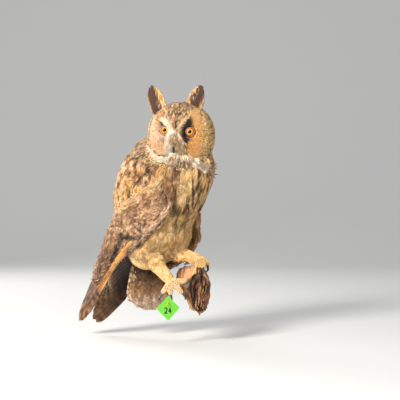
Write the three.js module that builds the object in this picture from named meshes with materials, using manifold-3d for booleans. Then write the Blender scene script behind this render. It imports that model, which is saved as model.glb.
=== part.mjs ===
// A life-size mounted long-eared owl (Asio otus) gripping a broken branch stub that stands out from a wall.
// Millimetres, +Z up. X runs along the wall, +Y goes into it, and the bird stands in front of it at -Y.
// The bird is laid out round the middle of its trunk. The outer group then moves everything so that the
// origin is the middle of the stub's flat back face, where the stub meets the wall.

import * as THREE from 'three';
import { mergeVertices } from 'three/addons/utils/BufferGeometryUtils.js';
import Module from 'manifold-3d';

const wasm = await Module();
wasm.setup();

const GAP = 0.3; // clearance between neighbouring pieces
const MESH_TOLERANCE = 0.35; // how far a facet may move where a cut piece is simplified
const SLIVER = 0.02; // facets narrower than this are closed up
const BODY_YAW = 32; // degrees that the bird's heading turns from +X towards the room
const FACE_YAW = 103; // the same for the face, so the head looks over the right wing
const HEAD_ROLL = 4.5; // the left eye sits lower than the right by this tilt
const HEAD_MIDDLE = new THREE.Vector3(-27, -112, 99);
const HEAD_HALF = { front: 37, back: 43, side: 49, top: 48, under: 50 };
const EYE_RADIUS = 7.6;
const EYE_PLACE = { forward: 27.6, side: 19.2, up: 3 };
const DISC = { width: 19, height: 27, depth: 6 }; // the shallow dish of feathers round an eye
const BRISTLE_RIDGE = { width: 6.5, rise: 6.5, top: 34, foot: -44 };
const BROW = { rise: 3.5, width: 4, side: 9, slope: 0.45 };
const HEAD_POWER = { front: 3.2, back: 2.2, crown: 2, jowl: 2.5 }; // above 2 the outline gets squarer
const CUT_SIZE = 500; // wider than the whole bird
const STUB_BACK = new THREE.Vector3(-19, 0, -129); // middle of the stub's wall face
const CARD_SIDE = 25.5;
const CARD_THICK = 0.8;

const vec = (x, y, z) => new THREE.Vector3(x, y, z);
const deg = THREE.MathUtils.degToRad;
const up = vec(0, 0, 1);
const heading = vec(Math.cos(deg(BODY_YAW)), -Math.sin(deg(BODY_YAW)), 0);
const leftward = vec(Math.sin(deg(BODY_YAW)), Math.cos(deg(BODY_YAW)), 0);
const rightward = leftward.clone().negate();

// ---------------------------------------------------------------- solids

function solidOf(geometry) {
  const bare = geometry.index ? geometry.clone() : geometry.toNonIndexed();
  bare.deleteAttribute('normal');
  bare.deleteAttribute('uv');
  const merged = mergeVertices(bare, 1e-4);
  return new wasm.Manifold(new wasm.Mesh({
    numProp: 3,
    vertProperties: new Float32Array(merged.attributes.position.array),
    triVerts: new Uint32Array(merged.index.array),
  }));
}

function geometryOf(solid) {
  const { vertProperties, triVerts } = solid.getMesh();
  const geometry = new THREE.BufferGeometry();
  geometry.setAttribute('position', new THREE.BufferAttribute(new Float32Array(vertProperties), 3));
  geometry.setIndex(new THREE.BufferAttribute(new Uint32Array(triVerts), 1));
  return geometry;
}

// The same solid with its skin moved out by a clearance, together with the solid itself.
function grown(solid, by = GAP) {
  const geometry = geometryOf(solid);
  geometry.computeVertexNormals();
  const { position, normal } = geometry.attributes;
  for (let i = 0; i < position.count; i++) {
    position.setXYZ(i, position.getX(i) + by * normal.getX(i), position.getY(i) + by * normal.getY(i),
      position.getZ(i) + by * normal.getZ(i));
  }
  return solidOf(geometry).add(solid);
}

const largest = solid => solid.decompose().sort((a, b) => b.volume() - a.volume())[0];

// What is left of a solid beside its neighbours: one piece with few facets, clear of them all. It is cut
// again where a facet that was simplified away leaves it touching one of them.
function fitted(solid, ...neighbours) {
  const rough = neighbours.reduce((rest, other) => rest.subtract(grown(other)), solid);
  const plain = largest(rough).simplify(MESH_TOLERANCE);
  const touched = neighbours.filter(other => plain.intersect(other).volume() > 0);
  const clear = touched.reduce((rest, other) => rest.subtract(grown(other, GAP / 2)), plain);
  return largest(clear).simplify(SLIVER);
}

const joined = (...solids) => solids.reduce((all, next) => all.add(next));

// A smooth run of values between a few given ones, evenly spaced from 0 to 1.
function along(...values) {
  const curve = new THREE.SplineCurve(values.map((value, i) => new THREE.Vector2(i, value)));
  return t => curve.getPoint(t).y;
}

// A closed body round a spine, with its ends rounded over the lengths in `tips`. `wide` and `deep` are half
// sizes along the spine, `side` is the direction of the width, and `bow` curls the section's edges inwards.
function spindle({ spine, side, wide, deep, tips = [0.12, 0.12], bow = () => 0, sides = 14, rings = 12 }) {
  const curve = new THREE.CatmullRomCurve3(spine, false, 'centripetal');
  const geometry = new THREE.SphereGeometry(1, sides, rings);
  const { position, uv } = geometry.attributes;
  for (let i = 0; i < position.count; i++) {
    const t = THREE.MathUtils.clamp((1 - Math.cos(Math.PI * uv.getY(i))) / 2, 0, 1);
    const pole = uv.getY(i) === 0 || uv.getY(i) === 1;
    const turn = 2 * Math.PI * uv.getX(i);
    const tangent = curve.getTangentAt(t);
    const across = side instanceof Function ? side(t) : side.clone();
    across.addScaledVector(tangent, -across.dot(tangent)).normalize();
    const out = across.clone().cross(tangent);
    const lead = 1 - Math.min(1, t / tips[0]);
    const trail = 1 - Math.min(1, (1 - t) / tips[1]);
    const round = pole ? 0 : Math.sqrt(1 - Math.max(lead, trail) ** 2);
    const p = -Math.cos(turn) * wide(t) * round;
    const q = Math.sin(turn) * deep(t) * round - bow(t) * (pole ? 0 : Math.cos(turn) ** 2);
    const point = curve.getPointAt(t).addScaledVector(across, p).addScaledVector(out, q);
    position.setXYZ(i, point.x, point.y, point.z);
  }
  return solidOf(geometry);
}

const steady = value => () => value;

// ---------------------------------------------------------------- head

const headPlace = new THREE.Matrix4()
  .makeTranslation(HEAD_MIDDLE.x, HEAD_MIDDLE.y, HEAD_MIDDLE.z)
  .multiply(new THREE.Matrix4().makeRotationZ(-deg(FACE_YAW)))
  .multiply(new THREE.Matrix4().makeRotationX(-deg(HEAD_ROLL)));
// In the head's own frame +X is forward, +Y is the bird's left and +Z is up.
const onHead = (forward, side, height) => vec(forward, side, height).applyMatrix4(headPlace);
const headLeft = onHead(0, 1, 0).sub(HEAD_MIDDLE);
const headFront = onHead(1, 0, 0).sub(HEAD_MIDDLE);

const hump = (x, width) => Math.exp(-((x / width) ** 2) / 2);

// A broad round ball of feathers with a flat face: two dished discs parted by the ridge of bristles that
// runs from the forehead down to the bill, under a brow that rises towards the tufts.
function headSolid() {
  const geometry = new THREE.SphereGeometry(1, 24, 18);
  const { position } = geometry.attributes;
  for (let i = 0; i < position.count; i++) {
    const way = vec(position.getX(i), position.getY(i), position.getZ(i));
    const reach = vec(
      way.x / (way.x > 0 ? HEAD_HALF.front : HEAD_HALF.back),
      way.y / HEAD_HALF.side,
      way.z / (way.z > 0 ? HEAD_HALF.top : HEAD_HALF.under),
    );
    const square = way.x > 0 ? HEAD_POWER.front : HEAD_POWER.back;
    const oval = way.z > 0 ? HEAD_POWER.crown : HEAD_POWER.jowl;
    const ring = (Math.abs(reach.y) ** oval + Math.abs(reach.z) ** oval) ** (1 / oval);
    way.divideScalar((Math.abs(reach.x) ** square + ring ** square) ** (1 / square));
    if (way.x > 0) {
      const front = THREE.MathUtils.smoothstep(way.x, 12, 26);
      const eye = Math.abs(way.y) - EYE_PLACE.side;
      const level = way.z - EYE_PLACE.up;
      const dish = DISC.depth * hump(eye, DISC.width * 0.45) * hump(level, DISC.height * 0.5);
      const ridge = BRISTLE_RIDGE.rise * hump(way.y, BRISTLE_RIDGE.width)
        * THREE.MathUtils.smoothstep(BRISTLE_RIDGE.top - way.z, 0, 30)
        * THREE.MathUtils.smoothstep(way.z, BRISTLE_RIDGE.foot, BRISTLE_RIDGE.foot / 2);
      const offBrow = Math.abs(way.y) - BROW.side - BROW.slope * (way.z - 10);
      const brow = BROW.rise * hump(offBrow, BROW.width) * THREE.MathUtils.smoothstep(way.z, 2, 18);
      way.x += front * (ridge + brow - dish);
    }
    way.applyMatrix4(headPlace);
    position.setXYZ(i, way.x, way.y, way.z);
  }
  return solidOf(geometry);
}

function eyeSolid(mirror) {
  const geometry = new THREE.SphereGeometry(EYE_RADIUS, 12, 9);
  const place = onHead(EYE_PLACE.forward, mirror * EYE_PLACE.side, EYE_PLACE.up);
  geometry.translate(place.x, place.y, place.z);
  return solidOf(geometry);
}

function upperBill() {
  return spindle({
    spine: [onHead(33, 0, -5), onHead(42.5, 0, -12), onHead(45.5, 0, -21), onHead(42.5, 0, -31)],
    side: headLeft, wide: along(5, 4.6, 3.4, 0.9), deep: along(4, 4.5, 3.4, 0.9), tips: [0.1, 0.1],
    sides: 8, rings: 8,
  });
}

function lowerBill() {
  return spindle({
    spine: [onHead(33, 0, -20), onHead(39, 0, -25.5), onHead(41.2, 0, -30.5)],
    side: headLeft, wide: along(4.4, 3.8, 1.2), deep: along(2.4, 2, 0.9), tips: [0.15, 0.15],
    sides: 8, rings: 6,
  });
}

// An upright leaf of feathers, hollow towards the front.
function tuftSolid(base, tip, width) {
  const profile = along(0.85, 1.02, 1.05, 0.9, 0.62);
  const middle = base.clone().lerp(tip, 0.5).addScaledVector(headFront, 2);
  return spindle({
    spine: [base, middle, tip], side: headLeft,
    wide: t => width * profile(t), deep: along(6, 4, 1.8), bow: along(1, 3, 1), tips: [0.08, 0.3],
    sides: 8, rings: 8,
  });
}

// ---------------------------------------------------------------- trunk, neck, tail

const torso = [vec(-30, -102, 104), vec(-35, -97, 75), vec(-43, -97, 52), vec(-57, -95, 24),
  vec(-66, -92, 0), vec(-70, -89, -38), vec(-67, -88, -66), vec(-63, -92, -97)];

function torsoSolid() {
  return spindle({
    spine: torso, side: leftward, sides: 18, rings: 15, tips: [0.2, 0.17],
    wide: along(42, 46, 50, 56, 57, 54, 50, 38), deep: along(58, 67, 71, 72, 68, 57, 54, 38),
  });
}

// The two parts of a solid on either side of a thin cut across `spine` direction.
function parted(solid, place, normal) {
  const slab = new THREE.BoxGeometry(CUT_SIZE, CUT_SIZE, GAP);
  slab.applyQuaternion(new THREE.Quaternion().setFromUnitVectors(up, normal));
  slab.translate(place.x, place.y, place.z);
  const pieces = solid.subtract(solidOf(slab)).decompose().map(piece => piece.simplify(SLIVER));
  const height = piece => piece.boundingBox().max[2] + piece.boundingBox().min[2];
  const byVolume = pieces.sort((a, b) => b.volume() - a.volume()).slice(0, 2);
  return byVolume.sort((a, b) => height(b) - height(a));
}

const TAIL = { feathers: 6, fan: 18, length: 108, half: 10, root: vec(-78, -72, -66) };

function tailSolid() {
  const side = vec(0.8, 0.6, 0);
  const down = vec(0.0, 0.1, -1).normalize();
  const blades = [];
  for (let i = 0; i < TAIL.feathers; i++) {
    const out = (2 * i) / (TAIL.feathers - 1) - 1;
    const lean = deg(TAIL.fan * out);
    const way = down.clone().multiplyScalar(Math.cos(lean)).addScaledVector(side, Math.sin(lean) * 0.6);
    const from = TAIL.root.clone().addScaledVector(side, 14 * out);
    const end = from.clone().addScaledVector(way, TAIL.length * (1 - 0.1 * out * out));
    const middle = from.clone().lerp(end, 0.5).addScaledVector(heading, 3 * (1 - out * out));
    blades.push(spindle({
      spine: [from, middle, end], side, wide: along(6, TAIL.half, TAIL.half * 0.85),
      deep: along(4, 2.4, 1.1), tips: [0.1, 0.09], sides: 6, rings: 5,
    }));
  }
  const coverts = spindle({
    spine: [vec(-72, -82, -62), vec(-77, -74, -100), vec(-78, -70, -138)], side,
    wide: along(24, 25, 20), deep: along(12, 9, 4), tips: [0.2, 0.3], sides: 14, rings: 8,
  });
  return joined(coverts, ...blades);
}

// ---------------------------------------------------------------- wings

// The shield of coverts and secondaries, laid on the side of the trunk and bowed round it.
function wingSolid({ spine, outward, wide, bow }) {
  const side = t => heading.clone().multiplyScalar(0.69).addScaledVector(up, -0.72)
    .addScaledVector(outward, 0.1 * t);
  return spindle({
    spine, side, wide, deep: along(6, 8, 7.5, 6, 4.5, 3.5), tips: [0.1, 0.08], bow, sides: 12, rings: 12,
  });
}

// The long outer feathers: a narrow stack that runs on from under the shield to the wing's tip.
function primariesSolid({ root, bend, tips, side, halves }) {
  const blades = tips.map((tip, i) => {
    const from = root.clone().addScaledVector(side, halves[i]);
    const middle = bend.clone().addScaledVector(side, halves[i]);
    return spindle({
      spine: [from, middle, tip], side, wide: along(7, 8.5, 6.5), deep: along(3.4, 2.6, 1.1),
      tips: [0.05, 0.12], sides: 6, rings: 6,
    });
  });
  return joined(...blades);
}

const rightWing = {
  spine: [vec(-44, -152, 26), vec(-70, -149, -1), vec(-101, -138, -27), vec(-125, -119, -61),
    vec(-144, -98, -95), vec(-162, -76, -126)],
  outward: rightward, wide: along(17, 34, 37, 24, 13, 6), bow: along(2, -9, -11, -6, -2, 0),
};
const leftWing = {
  spine: [vec(-12, -62, 18), vec(-17, -43, -14), vec(-23, -36, -46), vec(-62, -27, -82),
    vec(-112, -24, -118)],
  outward: leftward, wide: along(14, 28, 37, 27, 14), bow: along(-2, 9, 11, 6, 0),
};

const rightPrimaries = {
  root: vec(-126, -114, -70), bend: vec(-161, -73, -127), side: vec(0.62, -0.7, -0.35),
  tips: [vec(-183, -40, -168), vec(-190, -38, -180), vec(-191, -41, -187), vec(-187, -46, -188),
    vec(-181, -54, -181)],
  halves: [-9, -5, 0, 4, 8],
};
const leftPrimaries = {
  root: vec(-92, -30, -100), bend: vec(-134, -28, -146), side: vec(-0.35, -0.25, 0.9),
  tips: [vec(-166, -18, -194), vec(-171, -20, -188), vec(-167, -26, -172), vec(-158, -30, -152),
    vec(-146, -33, -134)],
  halves: [-13, -7, 0, 6, 12],
};

// ---------------------------------------------------------------- legs and feet

// Each toe runs from the ankle over a knuckle to its end, and its claw curls on to a tip.
const legs = {
  right: {
    thigh: [vec(-90, -106, -54), vec(-86, -109, -82), vec(-75, -116, -103)],
    shank: [vec(-73, -116, -84), vec(-62, -123, -100), vec(-42, -143, -121)],
    thick: [13, 9.5, 7.5],
    toes: [
      { knuckle: vec(-49, -147, -129), end: vec(-57, -146, -139), claw: vec(-60, -151, -148) },
      { knuckle: vec(-44, -153, -131), end: vec(-42, -154, -141), claw: vec(-43, -150, -150) },
      { knuckle: vec(-32, -154, -130), end: vec(-24, -153, -138), claw: vec(-22, -149, -147) },
      { knuckle: vec(-29, -152, -119), end: vec(-17, -152, -119), claw: vec(-20, -155, -131) },
    ],
  },
  left: {
    thigh: [vec(-44, -94, -58), vec(-38, -98, -78), vec(-32, -101, -90)],
    shank: [vec(-40, -98, -84), vec(-18, -110, -85), vec(1, -126, -89)],
    thick: [9.5, 8.5, 7],
    toes: [
      { knuckle: vec(5, -138, -94), end: vec(5, -148, -101), claw: vec(4, -152, -110) },
      { knuckle: vec(-3, -138, -94), end: vec(-4, -148, -101), claw: vec(-4, -152, -109) },
      { knuckle: vec(9, -128, -91), end: vec(12, -134, -99), claw: vec(9, -140, -107) },
      { knuckle: vec(-8, -118, -92), end: vec(-16, -114, -94), claw: vec(-24, -112, -98) },
    ],
  },
};

function thighSolid(spine) {
  return spindle({
    spine, side: heading, wide: along(23, 22, 11), deep: along(21, 20, 11), tips: [0.2, 0.3], sides: 12,
    rings: 8,
  });
}

function shankSolid({ shank, thick }) {
  return spindle({
    spine: shank, side: leftward, wide: along(...thick), deep: along(...thick), tips: [0.12, 0.12],
    sides: 9, rings: 7,
  });
}

function footSolid({ shank, toes }) {
  return joined(...toes.map(({ knuckle, end }) => spindle({
    spine: [shank[2], knuckle, end], side: end.clone().sub(shank[2]).cross(vec(0, -1, 0.3)),
    wide: along(5, 4.5, 3.6), deep: along(5, 4.5, 3.6), tips: [0.12, 0.2], sides: 6, rings: 5,
  })));
}

function clawSolid({ knuckle, end, claw }) {
  const way = end.clone().sub(knuckle).normalize();
  const root = end.clone().addScaledVector(way, -3);
  const crown = end.clone().addScaledVector(way, 3.4).lerp(claw, 0.3);
  return spindle({
    spine: [root, crown, claw], side: claw.clone().sub(end).cross(way), wide: along(1.9, 1.6, 0.5),
    deep: along(2, 1.7, 0.5), tips: [0.1, 0.1], sides: 7, rings: 6,
  });
}

// ---------------------------------------------------------------- stub and label

// A stub of branch from its flat sawn back to a split end, with a knot hole in the split face.
function stubSolid() {
  const spine = new THREE.CatmullRomCurve3([
    STUB_BACK, vec(-18, -58, -124), vec(-14, -102, -120), vec(-4, -126, -130), vec(-1, -142, -137)]);
  const wide = along(20, 19, 18, 19, 15);
  const tall = along(21, 19.5, 19, 31, 31);
  const sides = 18;
  const rings = 10;
  const geometry = new THREE.CylinderGeometry(1, 1, 1, sides, rings);
  const { position } = geometry.attributes;
  for (let i = 0; i < position.count; i++) {
    const t = 0.5 + position.getY(i);
    const turn = Math.atan2(position.getX(i), position.getZ(i));
    const reach = Math.hypot(position.getX(i), position.getZ(i));
    const rough = 1 + 0.05 * Math.sin(5 * turn + 7 * t) + 0.035 * Math.sin(9 * turn - 11 * t);
    const jagged = t > 0.99 ? 2.5 * Math.sin(4 * turn) + 2 * Math.cos(7 * turn) : 0;
    const middle = spine.getPoint(t);
    const blunt = (Math.abs(Math.sin(turn)) ** 2.5 + Math.abs(Math.cos(turn)) ** 2.5) ** (-1 / 2.5);
    const size = reach * rough * blunt;
    position.setXYZ(i, middle.x + Math.sin(turn) * size * wide(t), middle.y + reach * jagged,
      middle.z - Math.cos(turn) * size * tall(t));
  }
  return solidOf(geometry);
}

function knotHole() {
  const geometry = new THREE.CylinderGeometry(3, 2, 26, 9);
  geometry.translate(7, -146, -132);
  return solidOf(geometry);
}

const cardPlace = new THREE.Matrix4().makeTranslation(-46.6, -156, -158.5)
  .multiply(new THREE.Matrix4().makeRotationZ(deg(22)))
  .multiply(new THREE.Matrix4().makeRotationY(deg(45)));

function cardSolid() {
  const geometry = new THREE.BoxGeometry(CARD_SIDE, CARD_THICK, CARD_SIDE);
  geometry.applyMatrix4(cardPlace);
  return solidOf(geometry);
}

// The thread passes through the card near its top corner and up to the toe above.
function threadSolid() {
  const spine = [vec(-47.5, -160.5, -152), vec(-46.6, -157, -149), vec(-46.4, -153.5, -146.5)];
  return spindle({ spine, side: leftward, wide: steady(0.8), deep: steady(0.8), sides: 5, rings: 4 });
}

// ---------------------------------------------------------------- the whole

const figure = new THREE.Group();
figure.position.copy(STUB_BACK).negate();

// Colour and roughness.
const finishes = {
  plumage: [0x9a7a52, 0.9],
  pale: [0xd8b98a, 0.9],
  tuft: [0x4a3324, 0.9],
  eye: [0xe08a1c, 0.08],
  bill: [0x2a2522, 0.4],
  claw: [0x241a16, 0.35],
  wood: [0x8a6242, 0.85],
  card: [0x6be02a, 0.7],
  thread: [0xe6c23c, 0.6],
};

function addPiece(name, solid, finish) {
  const [color, roughness] = finishes[finish];
  const mesh = new THREE.Mesh(geometryOf(solid), new THREE.MeshStandardMaterial({ color, roughness }));
  mesh.name = name;
  figure.add(mesh);
}

const stub = stubSolid().subtract(knotHole());
addPiece('stump', stub, 'wood');

const card = cardSolid();
const thread = threadSolid();
addPiece('tag', fitted(card, thread), 'card');
addPiece('tag_thread', thread, 'thread');

const eyes = { right: eyeSolid(-1), left: eyeSolid(1) };
const shields = { right: wingSolid(rightWing), left: wingSolid(leftWing) };
addPiece('eye_right', eyes.right, 'eye');
addPiece('eye_left', eyes.left, 'eye');
addPiece('wing_right', shields.right, 'plumage');
addPiece('wing_left', shields.left, 'plumage');

// The head, neck and trunk are one smooth body parted by thin cuts. Everything else is fitted to it.
const body = fitted(headSolid().add(torsoSolid()), eyes.right, eyes.left, shields.right, shields.left);
const [head, lowerBody] = parted(body, vec(-30, -110, 58), vec(0.2, -0.2, 1).normalize());
const [neck, trunk] = parted(lowerBody, vec(-48, -100, 34), vec(0.3, -0.05, 1).normalize());
addPiece('head', head, 'pale');
addPiece('neck', neck, 'plumage');
addPiece('trunk', trunk, 'plumage');

const upper = fitted(upperBill(), body);
addPiece('bill_upper', upper, 'bill');
addPiece('bill_lower', fitted(lowerBill(), upper, body), 'bill');
addPiece('ear_tuft_right', fitted(tuftSolid(vec(-57, -124, 131), vec(-76, -127, 172), 9.6), body), 'tuft');
addPiece('ear_tuft_left', fitted(tuftSolid(vec(-16, -128, 128), vec(2, -132, 171), 9.8), body), 'tuft');

const nearby = [body, shields.right, shields.left];
const rightTips = fitted(primariesSolid(rightPrimaries), ...nearby);
const leftTips = fitted(primariesSolid(leftPrimaries), ...nearby, rightTips);
const tail = fitted(tailSolid(), ...nearby, rightTips, leftTips);
addPiece('primaries_right', rightTips, 'plumage');
addPiece('primaries_left', leftTips, 'plumage');
addPiece('tail', tail, 'plumage');

for (const [name, leg] of Object.entries(legs)) {
  const thigh = fitted(thighSolid(leg.thigh), body, shields.right, tail, stub);
  const claws = leg.toes.map(toe => fitted(clawSolid(toe), stub, card));
  const shank = fitted(shankSolid(leg), body, thigh, tail, stub, ...claws);
  addPiece(`thigh_${name}`, thigh, 'pale');
  addPiece(`shank_${name}`, shank, 'pale');
  addPiece(`foot_${name}`, fitted(footSolid(leg), stub, body, shank, card, thread, ...claws), 'pale');
  claws.forEach((claw, i) => addPiece(`claw_${name}_${i + 1}`, claw, 'claw'));
}

export default figure;
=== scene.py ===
import math

import bmesh
import bpy
import numpy as np
from mathutils import Matrix, Vector
from mathutils.bvhtree import BVHTree


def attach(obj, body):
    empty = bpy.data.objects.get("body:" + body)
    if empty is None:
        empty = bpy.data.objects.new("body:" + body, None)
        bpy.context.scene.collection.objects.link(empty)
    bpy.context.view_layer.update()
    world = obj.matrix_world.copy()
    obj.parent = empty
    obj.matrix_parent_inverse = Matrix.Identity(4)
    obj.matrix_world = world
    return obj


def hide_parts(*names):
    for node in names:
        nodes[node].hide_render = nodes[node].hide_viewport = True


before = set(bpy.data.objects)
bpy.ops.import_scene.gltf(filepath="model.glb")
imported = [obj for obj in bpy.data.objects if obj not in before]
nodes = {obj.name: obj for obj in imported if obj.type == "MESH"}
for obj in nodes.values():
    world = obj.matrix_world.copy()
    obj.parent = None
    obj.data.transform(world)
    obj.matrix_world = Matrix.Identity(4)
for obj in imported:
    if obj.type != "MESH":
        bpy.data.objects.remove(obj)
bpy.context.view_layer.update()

scene = bpy.context.scene

# Lengths are millimetres as seen from the front: x to the right, y towards the wall and z up, from a point on
# the wall above the stub. A mesh is turned to metres, measured from the stub's back, when it is written.
stubBack = np.array([-19.0, 0.0, -129.0])
rng = np.random.default_rng(4021)
latticeSize = 32
lattice = np.random.default_rng(77).random((latticeSize,) * 3)


def inMetres(points):
    return (np.asarray(points, float) - stubBack) / 1000


def inMillimetres(points):
    return np.asarray(points, float) * 1000 + stubBack


def unit(v):
    return v / np.maximum(np.linalg.norm(v, axis=-1, keepdims=True), 1e-9)


def ease(x, low, high):
    # rises smoothly from 0 at low to 1 at high
    t = np.clip((np.asarray(x, float) - low) / (high - low), 0, 1)
    return t * t * (3 - 2 * t)


def fade(x, low, high):
    # falls smoothly from 1 at low to 0 at high
    return ease(-np.asarray(x), -high, -low)


def bell(x, half):
    return np.exp(-((x / half) ** 2))


def blob(points, centre, radii):
    return np.exp(-0.5 * (((points - np.array(centre)) / np.array(radii)) ** 2).sum(-1))


def mix(a, b, weight):
    w = np.asarray(weight, float)[..., None]
    return np.asarray(a) * (1 - w) + np.asarray(b) * w


def shade(red, green, blue):
    # a display colour from 0 to 255, made linear
    c = np.array([red, green, blue]) / 255
    return np.where(c < 0.04045, c / 12.92, ((c + 0.055) / 1.055) ** 2.4)


def noise(points, size):
    # smooth random values from 0 to 1, `size` millimetres from one to the next
    p = points / np.asarray(size, float)
    cell = np.floor(p).astype(np.int64)
    f = p - cell
    f = f * f * (3 - 2 * f)
    total = np.zeros(len(p))
    for corner in range(8):
        step = np.array([corner & 1, corner >> 1 & 1, corner >> 2 & 1])
        weight = np.prod(np.where(step, f, 1 - f), axis=1)
        i = (cell + step) % latticeSize
        total += weight * lattice[i[:, 0], i[:, 1], i[:, 2]]
    return total


def patchy(points, size, low, high, shift=0):
    # random patches: 0 where the noise is below low, 1 above high
    return ease(noise(points + shift, size), low, high)


# The head's own frame runs forward, to the bird's left, and up.
headMiddle = np.array([-27.0, -112.0, 99.0])
headAngles = {"Z": -103, "X": -4.5}
headTurn = np.array(Matrix.Rotation(math.radians(headAngles["Z"]), 3, "Z")
                    @ Matrix.Rotation(math.radians(headAngles["X"]), 3, "X"))
headFront, headLeft, headUp = headTurn.T


def onHead(forward, side, height):
    return headTurn @ np.array([forward, side, height], float) + headMiddle


def fromHead(points):
    return (points - headMiddle) @ headTurn


eye = {"forward": 27.6, "side": 19.2, "up": 3.0, "radius": 7.6}
eyePlaces = [onHead(eye["forward"], mirror * eye["side"], eye["up"]) for mirror in (-1, 1)]
gaze = unit(np.array([-0.13, -0.99, 0.0]))
heading = np.array([0.848, -0.530, 0.0])  # the way the breast faces


def joined(parts):
    # parts are (points, faces, then anything with one value for each point), and come back as one part
    columns = list(zip(*parts))
    starts = np.cumsum([0] + [len(points) for points in columns[0]])
    columns[1] = [faces + start for faces, start in zip(columns[1], starts)]
    return [np.concatenate(column) for column in columns]


def facedOut(points, faces, middle):
    # turns a closed shape's faces round if they look inwards
    a, b, c = points[faces.T]
    return faces[:, ::-1] if (np.cross(b - a, c - a) * (a - middle)).sum() < 0 else faces


def halved(a, b, c, d):
    # four-cornered faces as triangles
    return np.concatenate([np.stack([a, b, c], -1).reshape(-1, 3), np.stack([a, c, d], -1).reshape(-1, 3)])


def placed(name, mesh, slot, *replaced):
    piece = bpy.data.objects.new(name, mesh)
    scene.collection.objects.link(piece)
    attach(piece, "root")
    if replaced:
        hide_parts(*replaced)
    return piece


def meshPiece(name, points, faces, material, slot, *replaced):
    mesh = bpy.data.meshes.new(name)
    faces = np.asarray(faces, np.int32)
    mesh.vertices.add(len(points))
    mesh.vertices.foreach_set("co", inMetres(points).astype(np.float32).ravel())
    mesh.loops.add(faces.size)
    mesh.loops.foreach_set("vertex_index", faces.ravel())
    mesh.polygons.add(len(faces))
    mesh.polygons.foreach_set("loop_start", np.arange(0, faces.size, faces.shape[1], dtype=np.int32))
    mesh.polygons.foreach_set("use_smooth", np.ones(len(faces), bool))
    mesh.update(calc_edges=True)
    mesh.materials.append(material)
    return placed(name, mesh, slot, *replaced)


def setColour(piece, colours):
    attribute = piece.data.color_attributes.new("plume", "FLOAT_COLOR", "POINT")
    rgba = np.ones((len(colours), 4), np.float32)
    rgba[:, :3] = colours
    attribute.data.foreach_set("color", rgba.ravel())


def setMap(mesh, name, places, corners):
    layer = mesh.uv_layers.new(name=name)
    layer.data.foreach_set("uv", places[np.asarray(corners).ravel()].astype(np.float32).ravel())


def reshaped(mesh, points):
    mesh.vertices.foreach_set("co", inMetres(points).astype(np.float32).ravel())
    mesh.polygons.foreach_set("use_smooth", np.ones(len(mesh.polygons), bool))
    mesh.update()


def pointsOf(mesh):
    # a mesh's points and the outward direction at each
    found = []
    for values, kind in ((mesh.vertices, "co"), (mesh.vertices, "normal")):
        flat = np.empty(len(values) * 3)
        values.foreach_get(kind, flat)
        found.append(flat.reshape(-1, 3))
    return inMillimetres(found[0]), found[1]


def addNode(made, kind, **values):
    node = made.new("ShaderNode" + kind)
    for socket, value in values.items():
        node.inputs[socket.replace("_", " ")].default_value = value
    return node


def newMaterial(name, roughness, **values):
    material = bpy.data.materials.new(name)
    material.use_nodes = True
    principled = material.node_tree.nodes["Principled BSDF"]
    for socket, value in {"Roughness": roughness, **values}.items():
        principled.inputs[socket.replace("_", " ")].default_value = value
    return material, material.node_tree.nodes, material.node_tree.links, principled


def markedMaterial(name, roughness, **values):
    # the colour comes straight from the piece's own markings
    material, made, links, principled = newMaterial(name, roughness, **values)
    marking = addNode(made, "Attribute")
    marking.attribute_name = "plume"
    links.new(marking.outputs["Color"], principled.inputs["Base Color"])
    return material


plume = {"speckle": 900, "detail": 3, "barbs": 14, "wander": 2.5, "relief": 0.35, "depth": 0.0004}


def plumeMaterial(name, roughness, grain, barbs=True):
    # the piece's own markings with a fine dusty speckle, and barbs that run off the shaft
    material = markedMaterial(name, roughness, Sheen_Weight=0.12, Sheen_Roughness=0.5,
                              Specular_IOR_Level=0.25)
    made, links = material.node_tree.nodes, material.node_tree.links
    principled, marking = made["Principled BSDF"], made["Attribute"]
    place = addNode(made, "TexCoord")
    speckle = addNode(made, "TexNoise", Scale=plume["speckle"], Detail=plume["detail"])
    level = addNode(made, "MapRange", From_Min=0.3, From_Max=0.7, To_Min=1 - grain, To_Max=1 + grain)
    tinted = addNode(made, "VectorMath")
    tinted.operation = "SCALE"
    links.new(place.outputs["Object"], speckle.inputs["Vector"])
    links.new(speckle.outputs["Fac"], level.inputs["Value"])
    links.new(marking.outputs["Color"], tinted.inputs[0])
    links.new(level.outputs["Result"], tinted.inputs["Scale"])
    links.new(tinted.outputs["Vector"], principled.inputs["Base Color"])
    if barbs:
        lie = addNode(made, "UVMap")
        lie.uv_map = "vane"
        lines = addNode(made, "TexWave", Scale=plume["barbs"], Distortion=plume["wander"])
        bump = addNode(made, "Bump", Strength=plume["relief"], Distance=plume["depth"])
        links.new(lie.outputs["UV"], lines.inputs["Vector"])
        links.new(lines.outputs["Fac"], bump.inputs["Height"])
        links.new(bump.outputs["Normal"], principled.inputs["Normal"])
    return material


plumage = {
    "cream": (236, 214, 180), "buff": (224, 182, 124), "orange": (222, 160, 88), "gold": (206, 164, 104),
    "brown": (150, 108, 72), "umber": (100, 68, 46), "dark": (58, 38, 30), "black": (26, 19, 18),
    "smoke": (136, 104, 84), "ash": (196, 180, 168), "white": (240, 232, 226), "olive": (152, 134, 104),
    "straw": (228, 196, 144), "pale": (240, 214, 186), "snow": (234, 230, 230), "blush": (228, 204, 186),
    "frost": (218, 212, 206), "rose": (198, 158, 120), "taupe": (196, 166, 140), "hoar": (250, 246, 242),
    "sable": (72, 48, 40), "petal": (240, 216, 206), "soot": (124, 90, 66),
}
aged = np.array([1.0, 0.9, 0.72])  # old plumage has yellowed
tone = {name: shade(*colour) * aged for name, colour in plumage.items()}


def layered(colour, *layers):
    # lays tones over a ground, each by its own weight
    for name, weight in layers:
        colour = mix(colour, tone[name], weight)
    return colour


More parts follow.
